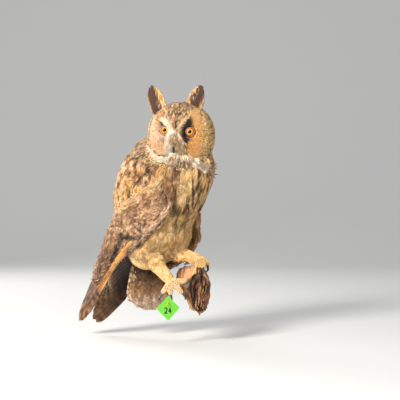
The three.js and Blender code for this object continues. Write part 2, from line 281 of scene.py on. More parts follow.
def stripe(x, y, start, end, half):
    # how near places on a plane are to a line between two points
    a, b = np.array(start, float), np.array(end, float)
    along = b - a
    t = np.clip(((x - a[0]) * along[0] + (y - a[1]) * along[1]) / (along @ along), 0, 1)
    off = np.hypot(x - a[0] - t * along[0], y - a[1] - t * along[1])
    return np.exp(-0.5 * (off / half) ** 2)


def smokyPatch(p):
    # plain grey-brown feathers over the bend of the wing
    return np.clip(blob(p, (-45, -158, 14), (10, 26, 20)) * (0.5 + patchy(p, 6, 0.2, 0.5, 3)), 0, 0.92)


def trunkMarks(p):
    # warm buff breast with long dark streaks, fading to a plain golden belly
    sideSpot = (-32, -150, -30)
    streak = noise(p + 40, (4.2, 4.2, 30)) * 0.6 + noise(p + 9, (2.0, 2.0, 12)) * 0.4
    bolder = 0.1 * blob(p, (-4, -135, 0), (20, 40, 28)) + 0.08 * blob(p, sideSpot, (9, 40, 15))
    streak = streak + bolder - 0.035
    high = np.maximum(ease(p[:, 2], -48, -8), 0.8 * blob(p, sideSpot, (12, 40, 20)))
    return layered(
        tone["straw"],
        ("orange", patchy(p, 16, 0.4, 0.75) * (0.25 + 0.6 * high)),
        ("gold", patchy(p, (7, 7, 18), 0.45, 0.7, 60) * (0.75 - 0.4 * high)),
        ("cream", patchy(p, (4, 4, 14), 0.48, 0.7, 160) * 0.7),
        ("brown", ease(streak, 0.53, 0.6) * (0.04 + 0.6 * high)),
        ("dark", ease(streak, 0.56, 0.61) * 0.96 * high),
        ("soot", smokyPatch(p)))


def backMarks(p):
    # mottled mantle: cream edges, fine cross waves and dark shaft blotches on grey-brown
    return layered(
        tone["brown"],
        ("buff", patchy(p, 7.5, 0.28, 0.6, 5)),
        ("petal", patchy(p, (5, 5, 8), 0.52, 0.72, 33) * 0.75),
        ("umber", patchy(p, (3.4, 3.4, 1.7), 0.5, 0.72, 90) * 0.45),
        ("dark", patchy(p, (5.2, 5.2, 10), 0.6, 0.74, 17) * 0.85))


def wingMarks(p):
    tip = blob(p, (-146, -110, -96), (15, 60, 30))
    lower = blob(p, (-102, -140, -58), (24, 60, 24))
    wedge = stripe(p[:, 0], p[:, 2], (-116, -56), (-134, -94), 3.0)
    wedge = wedge + 0.7 * stripe(p[:, 0], p[:, 2], (-116, -56), (-94, -58), 1.8)
    return layered(
        mix(tone["brown"], tone["rose"], patchy(p, 8.5, 0.2, 0.55, 5)) * 1.06,
        ("petal", patchy(p, (3.2, 3.2, 2.6), 0.52, 0.66, 71) * (0.35 + 0.55 * fade(p[:, 2], -30, 10))),
        ("umber", patchy(p, (3.2, 3.2, 2.4), 0.52, 0.68, 90) * 0.6),
        ("rose", blob(p, (-2, -70, -50), (16, 40, 40)) * 0.8),  # the left wing's edge
        ("brown", blob(p, (-92, -140, -8), (22, 40, 16)) * 0.5),
        ("soot", smokyPatch(p)),
        ("smoke", tip * 0.75),
        ("sable", patchy(p, (4, 6, 11), 0.5, 0.6, 44) * tip * 0.9),
        ("dark", patchy(p, (5.5, 5.5, 7), 0.5, 0.6, 23) * (0.1 + 0.88 * lower)),
        ("black", np.clip(wedge * 1.2, 0, 0.95)))


def crownMarks(p):
    # rosy forehead, fine dark and cream flecks, and a buff left side that is also brightened as painted light
    f, s, h = fromHead(p).T
    buffAndLitLeft = ease(s, 14, 30)
    colour = layered(
        tone["smoke"],
        ("taupe", patchy(p, 5.5, 0.1, 0.5, 5)),
        ("rose", ease(f, 0, 16) * fade(np.abs(s), 6, 16) * 0.7),
        ("buff", buffAndLitLeft * patchy(p, (4, 4, 6), 0.15, 0.42, 53) * 0.9),
        ("buff", patchy(p, 7, 0.55, 0.75, 151) * 0.6),
        ("cream", patchy(p, 2.3, 0.55, 0.72, 71) * 0.8),
        ("umber", patchy(p, 2.0, 0.52, 0.66, 190) * 0.75),
        ("dark", patchy(p, (2.6, 2.6, 4.5), 0.62, 0.72, 23) * 0.85))
    # painted light: the left side, which faces away from the lamp, is brightened and warmed a little
    return colour * (1 + buffAndLitLeft * np.array([[1.0], [0.72], [0.55]])).T


# Places on the face are (side, height) in the head's frame, and each mark has a strength, a place and a size.
faceSpots = ((1.1, (17.5, 16.0), (4.0, 6.0)), (1.2, (-22.5, 15.0), (3.4, 4.8)),
             (0.95, (14.2, -14), (2.8, 8.5)), (0.35, (-19, -10), (4.5, 5.0)),
             (1.0, (11.4, 4), (2.2, 7.5)), (0.6, (17.5, -8), (5.0, 2.6)))


def faceMarks(p):
    # pinkish right disc, paler partly in its own colour and partly as painted light on the lit side, and
    # orange left disc, black round the eyes, pale brows and a grey bill ridge
    f, s, h = fromHead(p).T
    plane = np.stack([s, h], 1)
    left = ease(s, -8, 8)
    rim = np.hypot((np.abs(s) - 17) / 26, (h + 3) / 40)
    upper = blob(plane, (-26.5, 21), (6, 8))
    colour = layered(
        # the right disc's pale pink is partly its own colour and partly painted light
        mix(tone["petal"], tone["buff"], left),
        ("cream", ease(rim, 0.5, 1.0) * (0.75 - 0.4 * left)),
        ("orange", blob(plane, (-24, -24), (9, 7)) * 0.4 + blob(plane, (27, -14), (9, 18)) * 0.55),
        ("orange", patchy(p, 5, 0.45, 0.8) * 0.3),
        ("orange", upper * 0.8),
        ("brown", upper * patchy(p, 2.6, 0.5, 0.62, 4)))
    ridge = np.exp(-0.5 * (s / 7.5) ** 2) * fade(h, 0, 14)
    colour = mix(colour, mix(tone["ash"], tone["olive"], ease(s, -2, 3)), np.clip(ridge * 1.5, 0, 1))
    black = sum(strength * blob(plane, place, size) for strength, place, size in faceSpots)
    brow = stripe(s, h, (-15, 16), (-5, -5), 3.2) + 0.6 * stripe(s, h, (13, 18), (2, -3), 1.1)
    line = stripe(s, h, (-34, -29), (-23.4, -35.6), 1.0) + stripe(s, h, (-23.4, -35.6), (-10, -35.4), 1.0)
    return layered(
        colour,
        ("black", np.clip(black * 1.5 - 0.15, 0, 0.97)),
        ("blush", np.clip(brow, 0, 0.92) * 0.85),
        ("umber", np.clip(line, 0, 1) * 0.9),
        ("white", blob(plane, (-9, -19), (3.4, 13)) * 0.85))


def legMarks(p):
    return layered(
        tone["straw"],
        ("buff", patchy(p, 9, 0.3, 0.8, 8)),
        ("cream", patchy(p, 5, 0.4, 0.75, 80) * 0.6),
        ("pale", fade(p[:, 2], -130, -112) * 0.8))


def ventMarks(p):
    return layered(
        tone["ash"],
        ("straw", patchy(p, 11, 0.3, 0.8, 2) * 0.6),
        ("smoke", patchy(p, (4, 4, 2.6), 0.5, 0.72, 50) * 0.6))


# Every piece of the coat and the skin under it take their colours from here.
marks = {"face": faceMarks, "crown": crownMarks, "back": backMarks, "wing": wingMarks, "leg": legMarks,
         "vent": ventMarks, "breast": trunkMarks}

# The skin is one closed surface under the whole coat, made from the flesh solids.
skin = {"voxel": 0.0019, "swell": 0.0005, "smooth": 9, "settle": 12, "faceCoat": 2.6}
flesh = {  # coat depth over each solid
    "head": 4.2, "neck": 6.0, "trunk": 6.0, "wing_right": 2.4, "wing_left": 2.4,
    "thigh_right": 4.0, "thigh_left": 3.2, "shank_right": 2.0, "shank_left": 1.8,
    "foot_right": 0.9, "foot_left": 0.9,
}


def closedCopy(name, swell):
    solid = bmesh.new()
    solid.from_mesh(nodes[name].data)
    bmesh.ops.remove_doubles(solid, verts=solid.verts, dist=2e-5)
    solid.normal_update()
    for vertex in solid.verts:
        vertex.co += vertex.normal * swell
    return solid


def remeshed(name, sources, voxel, swell, smooth):
    together = bpy.data.meshes.new(name + "Rough")
    whole = bmesh.new()
    for source in sources:
        part = closedCopy(source, swell)
        part.to_mesh(together)
        part.free()
        whole.from_mesh(together)
    whole.to_mesh(together)
    whole.free()
    rough = bpy.data.objects.new(name + "Rough", together)
    scene.collection.objects.link(rough)
    remesh = rough.modifiers.new("close", "REMESH")
    remesh.mode = "VOXEL"
    remesh.voxel_size = voxel
    soften = rough.modifiers.new("soften", "SMOOTH")
    soften.factor = 0.5
    soften.iterations = smooth
    made = bpy.data.meshes.new_from_object(rough.evaluated_get(bpy.context.evaluated_depsgraph_get()))
    bpy.data.objects.remove(rough)
    made.name = name
    made.materials.clear()
    return made


skinMesh = remeshed("skin", list(flesh), skin["voxel"], skin["swell"], skin["smooth"])
outer, outward = pointsOf(skinMesh)
count = len(outer)
edges = np.empty(len(skinMesh.edges) * 2, np.int64)
skinMesh.edges.foreach_get("vertices", edges)
edges = edges.reshape(-1, 2)


def settled(values, rounds):
    # averages a field over the skin, so that it changes smoothly from one solid to the next
    flat = values.reshape(count, -1).astype(float)
    degree = np.bincount(edges.ravel(), minlength=count)[:, None] + 1
    for _ in range(rounds):
        total = flat.copy()
        for column in range(flat.shape[1]):
            total[:, column] += np.bincount(edges[:, 0], flat[edges[:, 1], column], minlength=count)
            total[:, column] += np.bincount(edges[:, 1], flat[edges[:, 0], column], minlength=count)
        flat = total / degree
    return flat.reshape(values.shape)


def distanceTo(name, points):
    solid = closedCopy(name, 0)
    tree = BVHTree.FromBMesh(solid)
    solid.free()
    return np.array([tree.find_nearest(p)[3] for p in inMetres(points).tolist()])


reach = np.stack([distanceTo(name, outer) for name in flesh])
names = np.array(list(flesh))[reach.argmin(0)]  # the solid that each point of the skin belongs to
print("skin: %d points" % count)

# The coat follows the middle lines of the wings and legs. A toe is its knuckle, its end and its claw's tip.
wingPaths = {
    "wing_right": np.array([(-44, -152, 26), (-70, -149, -1), (-101, -138, -27), (-125, -119, -61),
                            (-144, -98, -95), (-162, -76, -126)], float),
    "wing_left": np.array([(-12, -62, 18), (-17, -43, -14), (-23, -36, -46), (-62, -27, -82),
                           (-112, -24, -118)], float),
}
shankPaths = {
    "right": np.array([(-86, -109, -70), (-73, -116, -84), (-62, -123, -100), (-42, -143, -121)], float),
    "left": np.array([(-44, -94, -70), (-40, -98, -84), (-18, -110, -85), (1, -126, -89)], float),
}
toes = {
    "right": [((-49, -147, -129), (-57, -146, -139), (-60, -151, -148)),
              ((-44, -153, -131), (-42, -154, -141), (-43, -150, -150)),
              ((-32, -154, -130), (-24, -153, -138), (-22, -149, -147)),
              ((-29, -152, -119), (-17, -152, -119), (-20, -155, -131))],
    "left": [((5, -138, -94), (5, -148, -101), (4, -152, -110)),
             ((-3, -138, -94), (-4, -148, -101), (-4, -152, -109)),
             ((9, -128, -91), (12, -134, -99), (9, -140, -107)),
             ((-8, -118, -92), (-16, -114, -94), (-24, -112, -98))],
}


def pathFlow(points, path):
    # direction of the nearest stretch of a path, blended over 6 mm
    starts, ends = path[:-1], path[1:]
    ways = unit(ends - starts)
    offsets = points[:, None] - starts[None]
    t = np.clip((offsets * ways).sum(-1), 0, np.linalg.norm(ends - starts, axis=1))
    away = np.linalg.norm(offsets - t[..., None] * ways, axis=-1)
    weight = np.exp(-((away - away.min(1, keepdims=True)) / 6))
    return unit((weight[..., None] * ways).sum(1))


def footFlow(points, side):
    best = np.full(len(points), 1e9)
    flow = np.zeros_like(points)
    for knuckle, end, claw in toes[side]:
        path = np.array([shankPaths[side][-1], knuckle, end], float)
        middle = (path[:-1] + path[1:]) / 2
        away = np.linalg.norm(points[:, None] - middle[None], axis=-1).min(1)
        closer = away < best
        flow[closer] = pathFlow(points[closer], path)
        best[closer] = away[closer]
    return flow


lieDown = {"trunk": (-0.24, 0.10, -0.96), "neck": (-0.2, 0.0, -0.98), "bill": (30, 0, -10), "disc": 30,
           "ridge": 6.5, "part": -6, "collar": (50, 72)}


def headFlow(head):
    # out from the bill and, on the discs, out from each eye, and up or down along the middle ridge
    f, s, h = fromHead(head).T
    mirror = np.sign(s)
    eyeMiddle = onHead(0, 0, 0) + (np.stack([np.full_like(s, eye["forward"]), mirror * eye["side"],
                                             np.full_like(s, eye["up"])], 1)) @ headTurn.T
    fromEye = head - eyeMiddle
    ahead = f > 6
    disc = (np.exp(-((np.linalg.norm(fromEye, axis=1) / lieDown["disc"]) ** 4)) * ahead)[:, None]
    ridge = (np.exp(-0.5 * (s / lieDown["ridge"]) ** 2) * ahead)[:, None]
    upDown = np.where(h > lieDown["part"], 1.0, -1.0)[:, None] * headUp + 0.5 * mirror[:, None] * headLeft
    turned = unit(unit(head - onHead(*lieDown["bill"])) * (1 - disc) + unit(fromEye) * disc)
    return unit(turned * (1 - ridge) + upDown * ridge)


def coatFlow(points):
    # the lie of the coat: down the trunk, along the wings and legs, and out over the face
    flow = np.tile(unit(np.array(lieDown["trunk"])), (len(points), 1))
    for name, path in wingPaths.items():
        chosen = names == name
        flow[chosen] = pathFlow(points[chosen], path)
    for side in ("right", "left"):
        for part in ("thigh_", "shank_"):
            chosen = names == part + side
            flow[chosen] = pathFlow(points[chosen], shankPaths[side])
        chosen = names == "foot_" + side
        flow[chosen] = footFlow(points[chosen], side)
    chosen = names == "head"
    flow[chosen] = headFlow(points[chosen])
    low = fade(points[:, 2], *lieDown["collar"])[:, None] * chosen[:, None]
    return unit(flow * (1 - low) + np.array(lieDown["neck"]) * low)


# The discs' outline, and the vee of crown feathers that runs down between them.
faceF, faceS, faceH = fromHead(outer).T
discRim = np.hypot((np.abs(faceS) - 15) / 26, (faceH + 3) / 40)
isHead = names == "head"
vee = np.abs(faceS) < np.clip((faceH + 6) * 0.52, 0, 30)
onFace = isHead & (faceF > 4) & (discRim < 1) & ~vee
depth = np.array([flesh[name] for name in names])
depth[isHead & (faceF > 4) & (discRim < 1.1)] = skin["faceCoat"]
depth = settled(depth, skin["settle"])
flow = settled(coatFlow(outer), 3)
flow = unit(flow - (flow * outward).sum(1, keepdims=True) * outward)
inner = settled(outer - outward * depth[:, None], 1)

frontness = ((outer - np.array([-55, -95, 0])) * heading).sum(1)
height = outer[:, 2]
region = np.where(onFace, "face", np.where(isHead & (height > 58), "crown", "breast")).astype("<U8")
isBody = np.isin(names, ["neck", "trunk"]) | (isHead & (region == "breast"))
region[isBody & (frontness < -30 + 54 * ease(height, -34, 8))] = "back"
region[isBody & (height < -70) & (frontness < 0)] = "vent"
region[np.char.startswith(names, "wing")] = "wing"
for part in ("thigh", "shank", "foot"):
    region[np.char.startswith(names, part)] = "leg"

reshaped(skinMesh, inner)
skinPiece = placed("owlSkin", skinMesh, "body_plumage", *flesh)
bpy.ops.object.select_all(action="DESELECT")
bpy.context.view_layer.objects.active = skinPiece
skinPiece.select_set(True)
bpy.ops.object.mode_set(mode="EDIT")
bpy.ops.mesh.select_all(action="SELECT")
skinMesh.uv_layers.new(name="OFBake")
bpy.ops.uv.smart_project(angle_limit=math.radians(62), island_margin=0.004)
bpy.ops.object.mode_set(mode="OBJECT")
skinPiece.select_set(False)
skinColour = np.zeros((count, 3))
for one in np.unique(region):
    chosen = region == one
    skinColour[chosen] = marks[one](outer[chosen])
# painted shade: the skin is darkened to stand for the shade deep between the feathers, to 0.55 under the
# body, crown and wings and to 0.95 under the legs and face
setColour(skinPiece, skinColour * np.where(np.isin(region, ("leg", "face")), 0.95, 0.55)[:, None])
skinMesh.materials.append(plumeMaterial("downSkin", 0.85, 0.25, barbs=False))
print("skin: laid under the coat")


def ringFaces(sides, rings):
    # faces of a closed shape that has a point, then rings, then a point
    faces = []
    last = sides * rings + 1
    for a in range(sides):
        b = (a + 1) % sides
        faces.append((0, 1 + b, 1 + a))
        for ring in range(rings - 1):
            low, high = 1 + sides * ring, 1 + sides * (ring + 1)
            faces += [(low + a, low + b, high + b), (low + a, high + b, high + a)]
        faces.append((last - sides + a, last - sides + b, last))
    return np.array(faces)


# Feathers are laid from templates that are 1 long, with their places as (along, across, above).
def spike(start, end, fromSide, toSide, half, thick, rings=3):
    # one thin closed lock, pointed at both ends
    widths = {2: (0.9, 0.7), 3: (0.7, 1.0, 0.6)}[rings]
    steps = np.linspace(0, 1, rings + 2)[1:-1]
    points = [(start, fromSide, 0.0)]
    for t, w in zip(steps, widths):
        middle = fromSide + (toSide - fromSide) * t ** 0.8
        along = start + (end - start) * t
        points += [(along, middle - half * w, 0), (along, middle + half * w, 0), (along, middle, thick * w)]
    points.append((end, toSide, 0.0))
    return np.array(points), ringFaces(3, rings)


def vane(steps, halves, thick, camber):
    # one broad closed leaf with a raised shaft
    points = [(0.0, 0.0, 0.0)]
    for t, half in zip(steps, halves):
        drop = -camber * (2 * half) ** 2
        points += [(t, -half, drop), (t, 0, -thick * 0.4), (t, half, drop), (t, 0, thick)]
    points.append((1.0, 0.0, 0.0))
    return np.array(points), ringFaces(4, len(steps))


def tuftShape(locks, spread, seed, half, withVane=False):
    # a few locks that fan out, with or without a broad leaf under them
    made = []
    chance = np.random.default_rng(seed)
    if withVane:
        halves = np.array([0.16, 0.36, 0.42, 0.4, 0.26]) * chance.uniform(0.85, 1.1, 5)
        made.append(vane((0.08, 0.28, 0.5, 0.7, 0.86), halves, 0.05, 0.05))
    for lockNumber in range(locks):
        side = 2 * lockNumber / (locks - 1) - 1 + chance.uniform(-0.15, 0.15)
        length = 1.02 - 0.24 * side * side + chance.uniform(-0.1, 0.06)
        points, faces = spike(0.4 if withVane else 0.0, length, side * 0.1, side * spread,
                              half * chance.uniform(0.75, 1.2), 0.09)
        points[:, 2] += chance.uniform(0, 0.06) + 0.03 * abs(side)
        made.append((points, faces))
    return joined(made)


templates = {
    "fine": [spike(0, 1, 0, bend, 0.5, 0.5, 2) for bend in (-1.0, -0.4, 0.3, 1.1)],
    "soft": [tuftShape(8, 0.5, seed, 0.075) for seed in (3, 8, 21, 34)],
    "small": [tuftShape(4, 0.42, seed, 0.14) for seed in (5, 9, 27)],
    "leaf": [tuftShape(3, 0.3, seed, 0.1, True) for seed in (2, 13, 17, 29)],
    "broad": [tuftShape(5, 0.42, seed, 0.06, True) for seed in (4, 15, 18, 31)],
    "stiff": [vane((0.1, 0.4, 0.75, 0.92), (0.22, 0.46, 0.44, 0.24), 0.08, 0.06)],
}
bakePatch = 0.003  # a feather's length on the OFBake map
colourFloor = 0.004


def surfaceOf(mesh, outerPoints, innerPoints, normals, lie, coatDepth):
    mesh.calc_loop_triangles()
    amount = len(mesh.loop_triangles)
    corners, loops = (np.empty(amount * 3, np.int64) for _ in range(2))
    mesh.loop_triangles.foreach_get("vertices", corners)
    mesh.loop_triangles.foreach_get("loops", loops)
    places = np.empty(len(mesh.loops) * 2)
    mesh.uv_layers["OFBake"].data.foreach_get("uv", places)
    corners = corners.reshape(-1, 3)
    a, b, c = outerPoints[corners.T]
    area = np.linalg.norm(np.cross(b - a, c - a), axis=1) / 2
    return {"corners": corners, "uv": places.reshape(-1, 2)[loops].reshape(-1, 3, 2), "area": area,
            "outer": outerPoints, "inner": innerPoints, "normal": normals, "lie": lie, "depth": coatDepth,
            "tree": BVHTree.FromPolygons(outerPoints.tolist(), corners.tolist())}


def scatter(surface, chosen, spacing):
    # random roots on the chosen part of a surface, thinned so that none crowd each other
    corners = surface["corners"]
    weight = surface["area"] * (chosen[corners].sum(1) >= 2)
    amount = int(weight.sum() / spacing ** 2 * 5)
    picked = rng.choice(len(corners), amount, p=weight / weight.sum())
    share = rng.dirichlet((1, 1, 1), amount)
    place = (surface["outer"][corners[picked]] * share[..., None]).sum(1)
    keep = np.arange(amount)
    for shift in (0, 0.5, 0.25):
        cell = np.floor(place[keep] / spacing + shift).astype(np.int64)
        code = cell @ np.array([7919, 104729, 1299709])  # one number for each cell
        keep = keep[np.unique(code, return_index=True)[1]]
    keep = rng.permutation(keep)
    corner, share = corners[picked[keep]], share[keep][..., None]
    return {
        "place": place[keep],
        "root": (surface["inner"][corner] * share).sum(1),
        "normal": unit((surface["normal"][corner] * share).sum(1)),
        "lie": unit((surface["lie"][corner] * share).sum(1)),
        "depth": (surface["depth"][corner] * share[..., 0]).sum(1),
        "uv": (surface["uv"][picked[keep]] * share).sum(1),
    }


def kept(roots, chosen):
    return {key: value[chosen] for key, value in roots.items()}


def cubic(steps):
    # weights that run a curve through four points at 0, 1/3, 2/3 and 1, and the same for its slope
    at = np.array([0, 1 / 3, 2 / 3, 1])
    weights, slopes = [], []
    for i in range(4):
        others = np.delete(at, i)
        scale = np.prod(at[i] - others)
        weights.append(np.prod([steps - o for o in others], axis=0) / scale)
        pairs = ((0, 1), (0, 2), (1, 2))
        slopes.append(sum((steps - others[j]) * (steps - others[k]) for j, k in pairs) / scale)
    return np.stack(weights, 1), np.stack(slopes, 1)


def followed(roots, surface, length, lift, sway):
    # four points and outward directions for each feather, from its root and out over the surface
    amount, normal = len(roots["place"]), roots["normal"]
    turn = np.radians(rng.normal(0, sway, amount))[:, None]
    lie = unit(roots["lie"] * np.cos(turn) + np.cross(normal, roots["lie"]) * np.sin(turn))
    way = unit(lie - (lie * normal).sum(1, keepdims=True) * normal)
    point = roots["place"]
    held, ups = np.empty((amount, 4, 3)), np.empty((amount, 4, 3))
    held[:, 0], ups[:, 0] = roots["root"], normal
    for step, sink in ((1, -0.3), (2, -0.02), (3, 0.0)):
        point = point + way * (length / 3)[:, None]
        found = [surface["tree"].find_nearest(p) for p in point.tolist()]
        point = np.array([hit[0] for hit in found])
        up = unit(np.array([hit[1] for hit in found]) * 0.6 + ups[:, step - 1] * 0.6)
        way = unit(way - (way * up).sum(1, keepdims=True) * up)
        held[:, step] = point + up * (sink * roots["depth"] + lift * (step - 1) / 2)[:, None]
        ups[:, step] = up
    return held, ups


def grow(name, roots, surface, kind, length, width, paint, material, slot, lift=0.6, sway=9.0):
    # lays a template from every root along the coat
    amount = len(roots["place"])
    length = np.broadcast_to(length, amount) * rng.uniform(0.85, 1.15, amount)
    width = np.broadcast_to(width, amount) * rng.uniform(0.85, 1.15, amount)
    held, ups = followed(roots, surface, length, lift, sway)
    which = rng.integers(0, len(templates[kind]), amount)
    parts = []
    for number, (shape, faces) in enumerate(templates[kind]):
        mine = np.flatnonzero(which == number)
        if not len(mine):
            continue
        along, across, above = shape.T
        weights, slopes = cubic(along)
        centre = np.einsum("vi,nij->nvj", weights, held[mine])
        tangent = unit(np.einsum("vi,nij->nvj", slopes, held[mine]))
        up = unit(np.einsum("vi,nij->nvj", np.clip(weights, 0, None), ups[mine]))
        side = unit(np.cross(up, tangent))
        up = np.cross(tangent, side)
        wide = width[mine][:, None, None]
        points = (centre + side * across[:, None] * wide + up * above[:, None] * wide).reshape(-1, 3)
        size = len(shape)
        allFaces = (faces[None] + (np.arange(len(mine)) * size)[:, None, None]).reshape(-1, 3)
        local = np.tile(np.stack([along, across], 1), (len(mine), 1, 1))
        patch = np.clip(roots["uv"][mine][:, None] + (local - np.array([0.5, 0])) * bakePatch, 0.0005, 0.9995)
        local = local.reshape(-1, 2)
        colours = paint(points, *local.T, np.repeat(mine, size), kept(roots, mine), size)
        parts.append((points, allFaces, colours, patch.reshape(-1, 2), local))
    points, faces, colours, patches, vanes = joined(parts)
    piece = meshPiece(name, points, faces, material, slot)
    setColour(piece, colours)
    setMap(piece.data, "OFBake", patches, faces)
    setMap(piece.data, "vane", vanes, faces)
    print("%s: %d feathers, %d triangles" % (name, amount, len(faces)))


def variedAndBaseShaded(colour, along, owner, chance, vary, base, start=0.1, end=0.6):
    # each feather a little lighter or darker than the next, and darker at its base: partly the grey down
    # there and partly painted shade where the feathers cover each other
    light = chance.normal(1, vary, owner.max() + 1)[owner]
    return np.clip(colour * (light * (base + (1 - base) * ease(along, start, end)))[:, None], colourFloor, 1)


def painter(one, shaftShare=0.0, tip="cream", tipShare=0.0, base=0.55, vary=0.14):
    # the markings of a feather's place, with an umber shaft streak and a pale tip
    def paint(points, along, across, owner, roots, size):
        colour = marks[one](points)
        if shaftShare:
            streak = patchy(np.repeat(roots["place"], size, 0), 6, 0.35, 0.65, 200)
            colour = layered(colour, ("umber", bell(across, 0.13) * shaftShare * streak),
                             (tip, ease(along, 0.72, 1.0) * tipShare))
        return variedAndBaseShaded(colour, along, owner, np.random.default_rng(7), vary, base)
    return paint


skinSurface = surfaceOf(skinMesh, outer, inner, outward, flow, depth)
softPlume = plumeMaterial("softPlumage", 0.82, 0.2)
wingPlume = plumeMaterial("wingPlumage", 0.7, 0.45)
faceHair = plumeMaterial("discPlumage", 0.85, 0.12, barbs=False)

# Feathers grow longer and wider down the wing and the nape, between the two heights in "drop".
coat = {
    "breast": {"spacing": 3.4, "length": 25, "width": 10.5, "kind": "soft", "lift": 1.2,
               "shaft": 0.5, "tip": 0.25},
    "back": {"spacing": 4.0, "length": 23, "width": 12, "kind": "broad", "lift": 0.8,
             "shaft": 0.6, "tip": 0.35},
    "wing": {"spacing": 4.1, "length": 19, "width": 12.5, "kind": "broad", "lift": 0.3, "shaft": 0.7,
             "tip": 0.5, "pieces": ("wingCoverts",), "slot": "wing_coverts", "tipTone": "blush", "sway": 6,
             "longer": 22, "wider": 1.5, "drop": (-95, -20)},
    "crown": {"spacing": 1.8, "length": 8.5, "width": 3.9, "kind": "small", "lift": 0.6, "shaft": 0.5,
              "tip": 0.35, "pieces": ("crownFeathers", "napeFeathers"), "slot": "head_plumage", "nape": -11,
              "longer": 6, "wider": 0, "drop": (50, 90)},
    "vent": {"spacing": 3.6, "length": 22, "width": 11, "kind": "soft", "lift": 0.8,
             "shaft": 0.6, "tip": 0.35},
}
for one, look in coat.items():
    roots = scatter(skinSurface, region == one, look["spacing"])
    front = fromHead(roots["place"])[:, 0] > look.get("nape", -np.inf)
    for name, chosen in zip(look.get("pieces", (one + "Feathers",)), (front, ~front)):
        part = kept(roots, chosen)
        down = fade(part["place"][:, 2], *look.get("drop", (-1, 1)))
        grow(name, part, skinSurface, look["kind"], look["length"] + look.get("longer", 0) * down,
             look["width"] + look.get("wider", 0) * down,
             painter(one, look["shaft"], look.get("tipTone", "cream"), look["tip"]),
             wingPlume if one == "wing" else softPlume, look.get("slot", "body_plumage"),
             look["lift"], look.get("sway", 9.0))

fine = {
    "disc": {"length": 7.5, "width": 0.75, "spacing": 0.86, "lift": 0.5, "sway": 7, "bareLid": 8.3},
    "thigh": {"length": 17, "width": 2.2, "spacing": 1.6, "lift": 0.7},
    "shank": {"length": 8.5, "width": 1.5, "spacing": 1.0, "lift": 0.3},
    "foot": {"length": 5.0, "width": 0.85, "spacing": 0.8, "lift": 0.3},
}
fromEyes = np.min([np.linalg.norm(outer - place, axis=1) for place in eyePlaces], axis=0)
for name, look in fine.items():
    onDisc = name == "disc"
    chosen = (region == "face") & (fromEyes > look["bareLid"]) if onDisc else np.char.startswith(names, name)
    roots = scatter(skinSurface, chosen, look["spacing"])
    grow(name + "Hair", roots, skinSurface, "fine", look["length"], look["width"],
         painter("face" if onDisc else "leg", base=0.92 if onDisc else 0.8, vary=0.08), faceHair,
         "head_plumage" if onDisc else "leg_plumage", look["lift"], look.get("sway", 9.0))


def quadratic(start, middle, end, t):
    # places and directions along a curve through three points
    a, b, c = (np.asarray(p, float) for p in (start, middle, end))
    t = t[:, None]
    place = a * (1 - t) * (1 - 2 * t) + b * 4 * t * (1 - t) + c * t * (2 * t - 1)
    return place, unit(a * (4 * t - 3) + b * (4 - 8 * t) + c * (4 * t - 1))


bladeShape = {"rows": 30, "columns": 9, "quill": 0.3, "round": 0.22, "splits": 3, "splitWidth": 0.022,
              "shaft": 0.9}
bladeMap = {"size": np.array([0.05, 0.02]), "step": (0.06, 0.03), "first": (0.05, 0.03), "inRow": 15}


def blade(feather, number):
    # one long closed feather, with a raised shaft, a rounded tip and a few splits in its edges
    rows, columns, roundness = bladeShape["rows"], bladeShape["columns"], bladeShape["round"]
    t = np.linspace(0, 1, rows)
    centre, tangent = quadratic(feather["start"], feather["middle"], feather["end"], t)
    side = np.asarray(feather["side"], float)
    side = unit(side - (tangent @ side)[:, None] * tangent)
    up = np.cross(side, tangent)
    up *= np.sign((up @ np.asarray(feather["face"], float)).sum())
    tip = np.clip((t - 1 + roundness) / roundness, 0, 0.995)
    half = feather["half"] * (0.25 + 0.75 * ease(t, 0, bladeShape["quill"]))
    half = half * np.sqrt(1 - tip ** feather.get("blunt", 2.4))
    u = np.linspace(-1, 1, columns)
    chance = np.random.default_rng(900 + number)
    wide = np.tile(half[:, None], (1, columns))
    for _ in range(bladeShape["splits"]):
        at, edge = chance.uniform(0.3, 0.97), chance.choice([-1, 1])
        notch = bell(t - at, bladeShape["splitWidth"]) * chance.uniform(0.12, 0.34)
        wide *= 1 - notch[:, None] * np.clip(edge * u, 0, 1)[None]
    wide[:, 0] *= feather.get("outer", 1.0)
    flat = centre[:, None] + side[:, None] * (u[None] * wide)[..., None]
    camber = -feather.get("camber", 0.12) * (u ** 2)[None] * half[:, None]
    thick = feather.get("thick", 0.5) * (1 - 0.55 * t)[:, None]
    shaft = bladeShape["shaft"] * bell(u, 0.14)[None] * (1 - t)[:, None]
    top = flat + up[:, None] * (camber + thick * (1 - 0.8 * np.abs(u)) + shaft)[..., None]
    below = flat + up[:, None] * (camber - thick * 0.4)[..., None]
    inside = slice(columns - 2, 0, -1)
    ring = np.concatenate([top, below[:, inside]], 1)
    size = ring.shape[1]
    grid = np.arange(rows * size).reshape(rows, size)
    turned = np.roll(grid, -1, 1)
    fans = []
    for row, order in ((0, 1), (rows - 1, -1)):
        for k in range(1, size - 1):
            fans.append((grid[row, 0], grid[row, k + 1], grid[row, k])[::order])
    faces = np.concatenate([halved(grid[:-1], turned[:-1], turned[1:], grid[1:]), np.array(fans)])
    points = ring.reshape(-1, 3)
    local = np.stack([np.repeat(t, size), np.tile(np.concatenate([u, u[inside]]), rows)], 1)
    across, down = number % bladeMap["inRow"], number // bladeMap["inRow"]
    corner = np.array(bladeMap["first"]) + np.array(bladeMap["step"]) * (across, down)
    place = corner + (local * np.array([1, 0.5]) - np.array([0.5, 0])) * bladeMap["size"]
    return points, facedOut(points, faces, points.mean(0)), local, place, np.full(len(points), number)


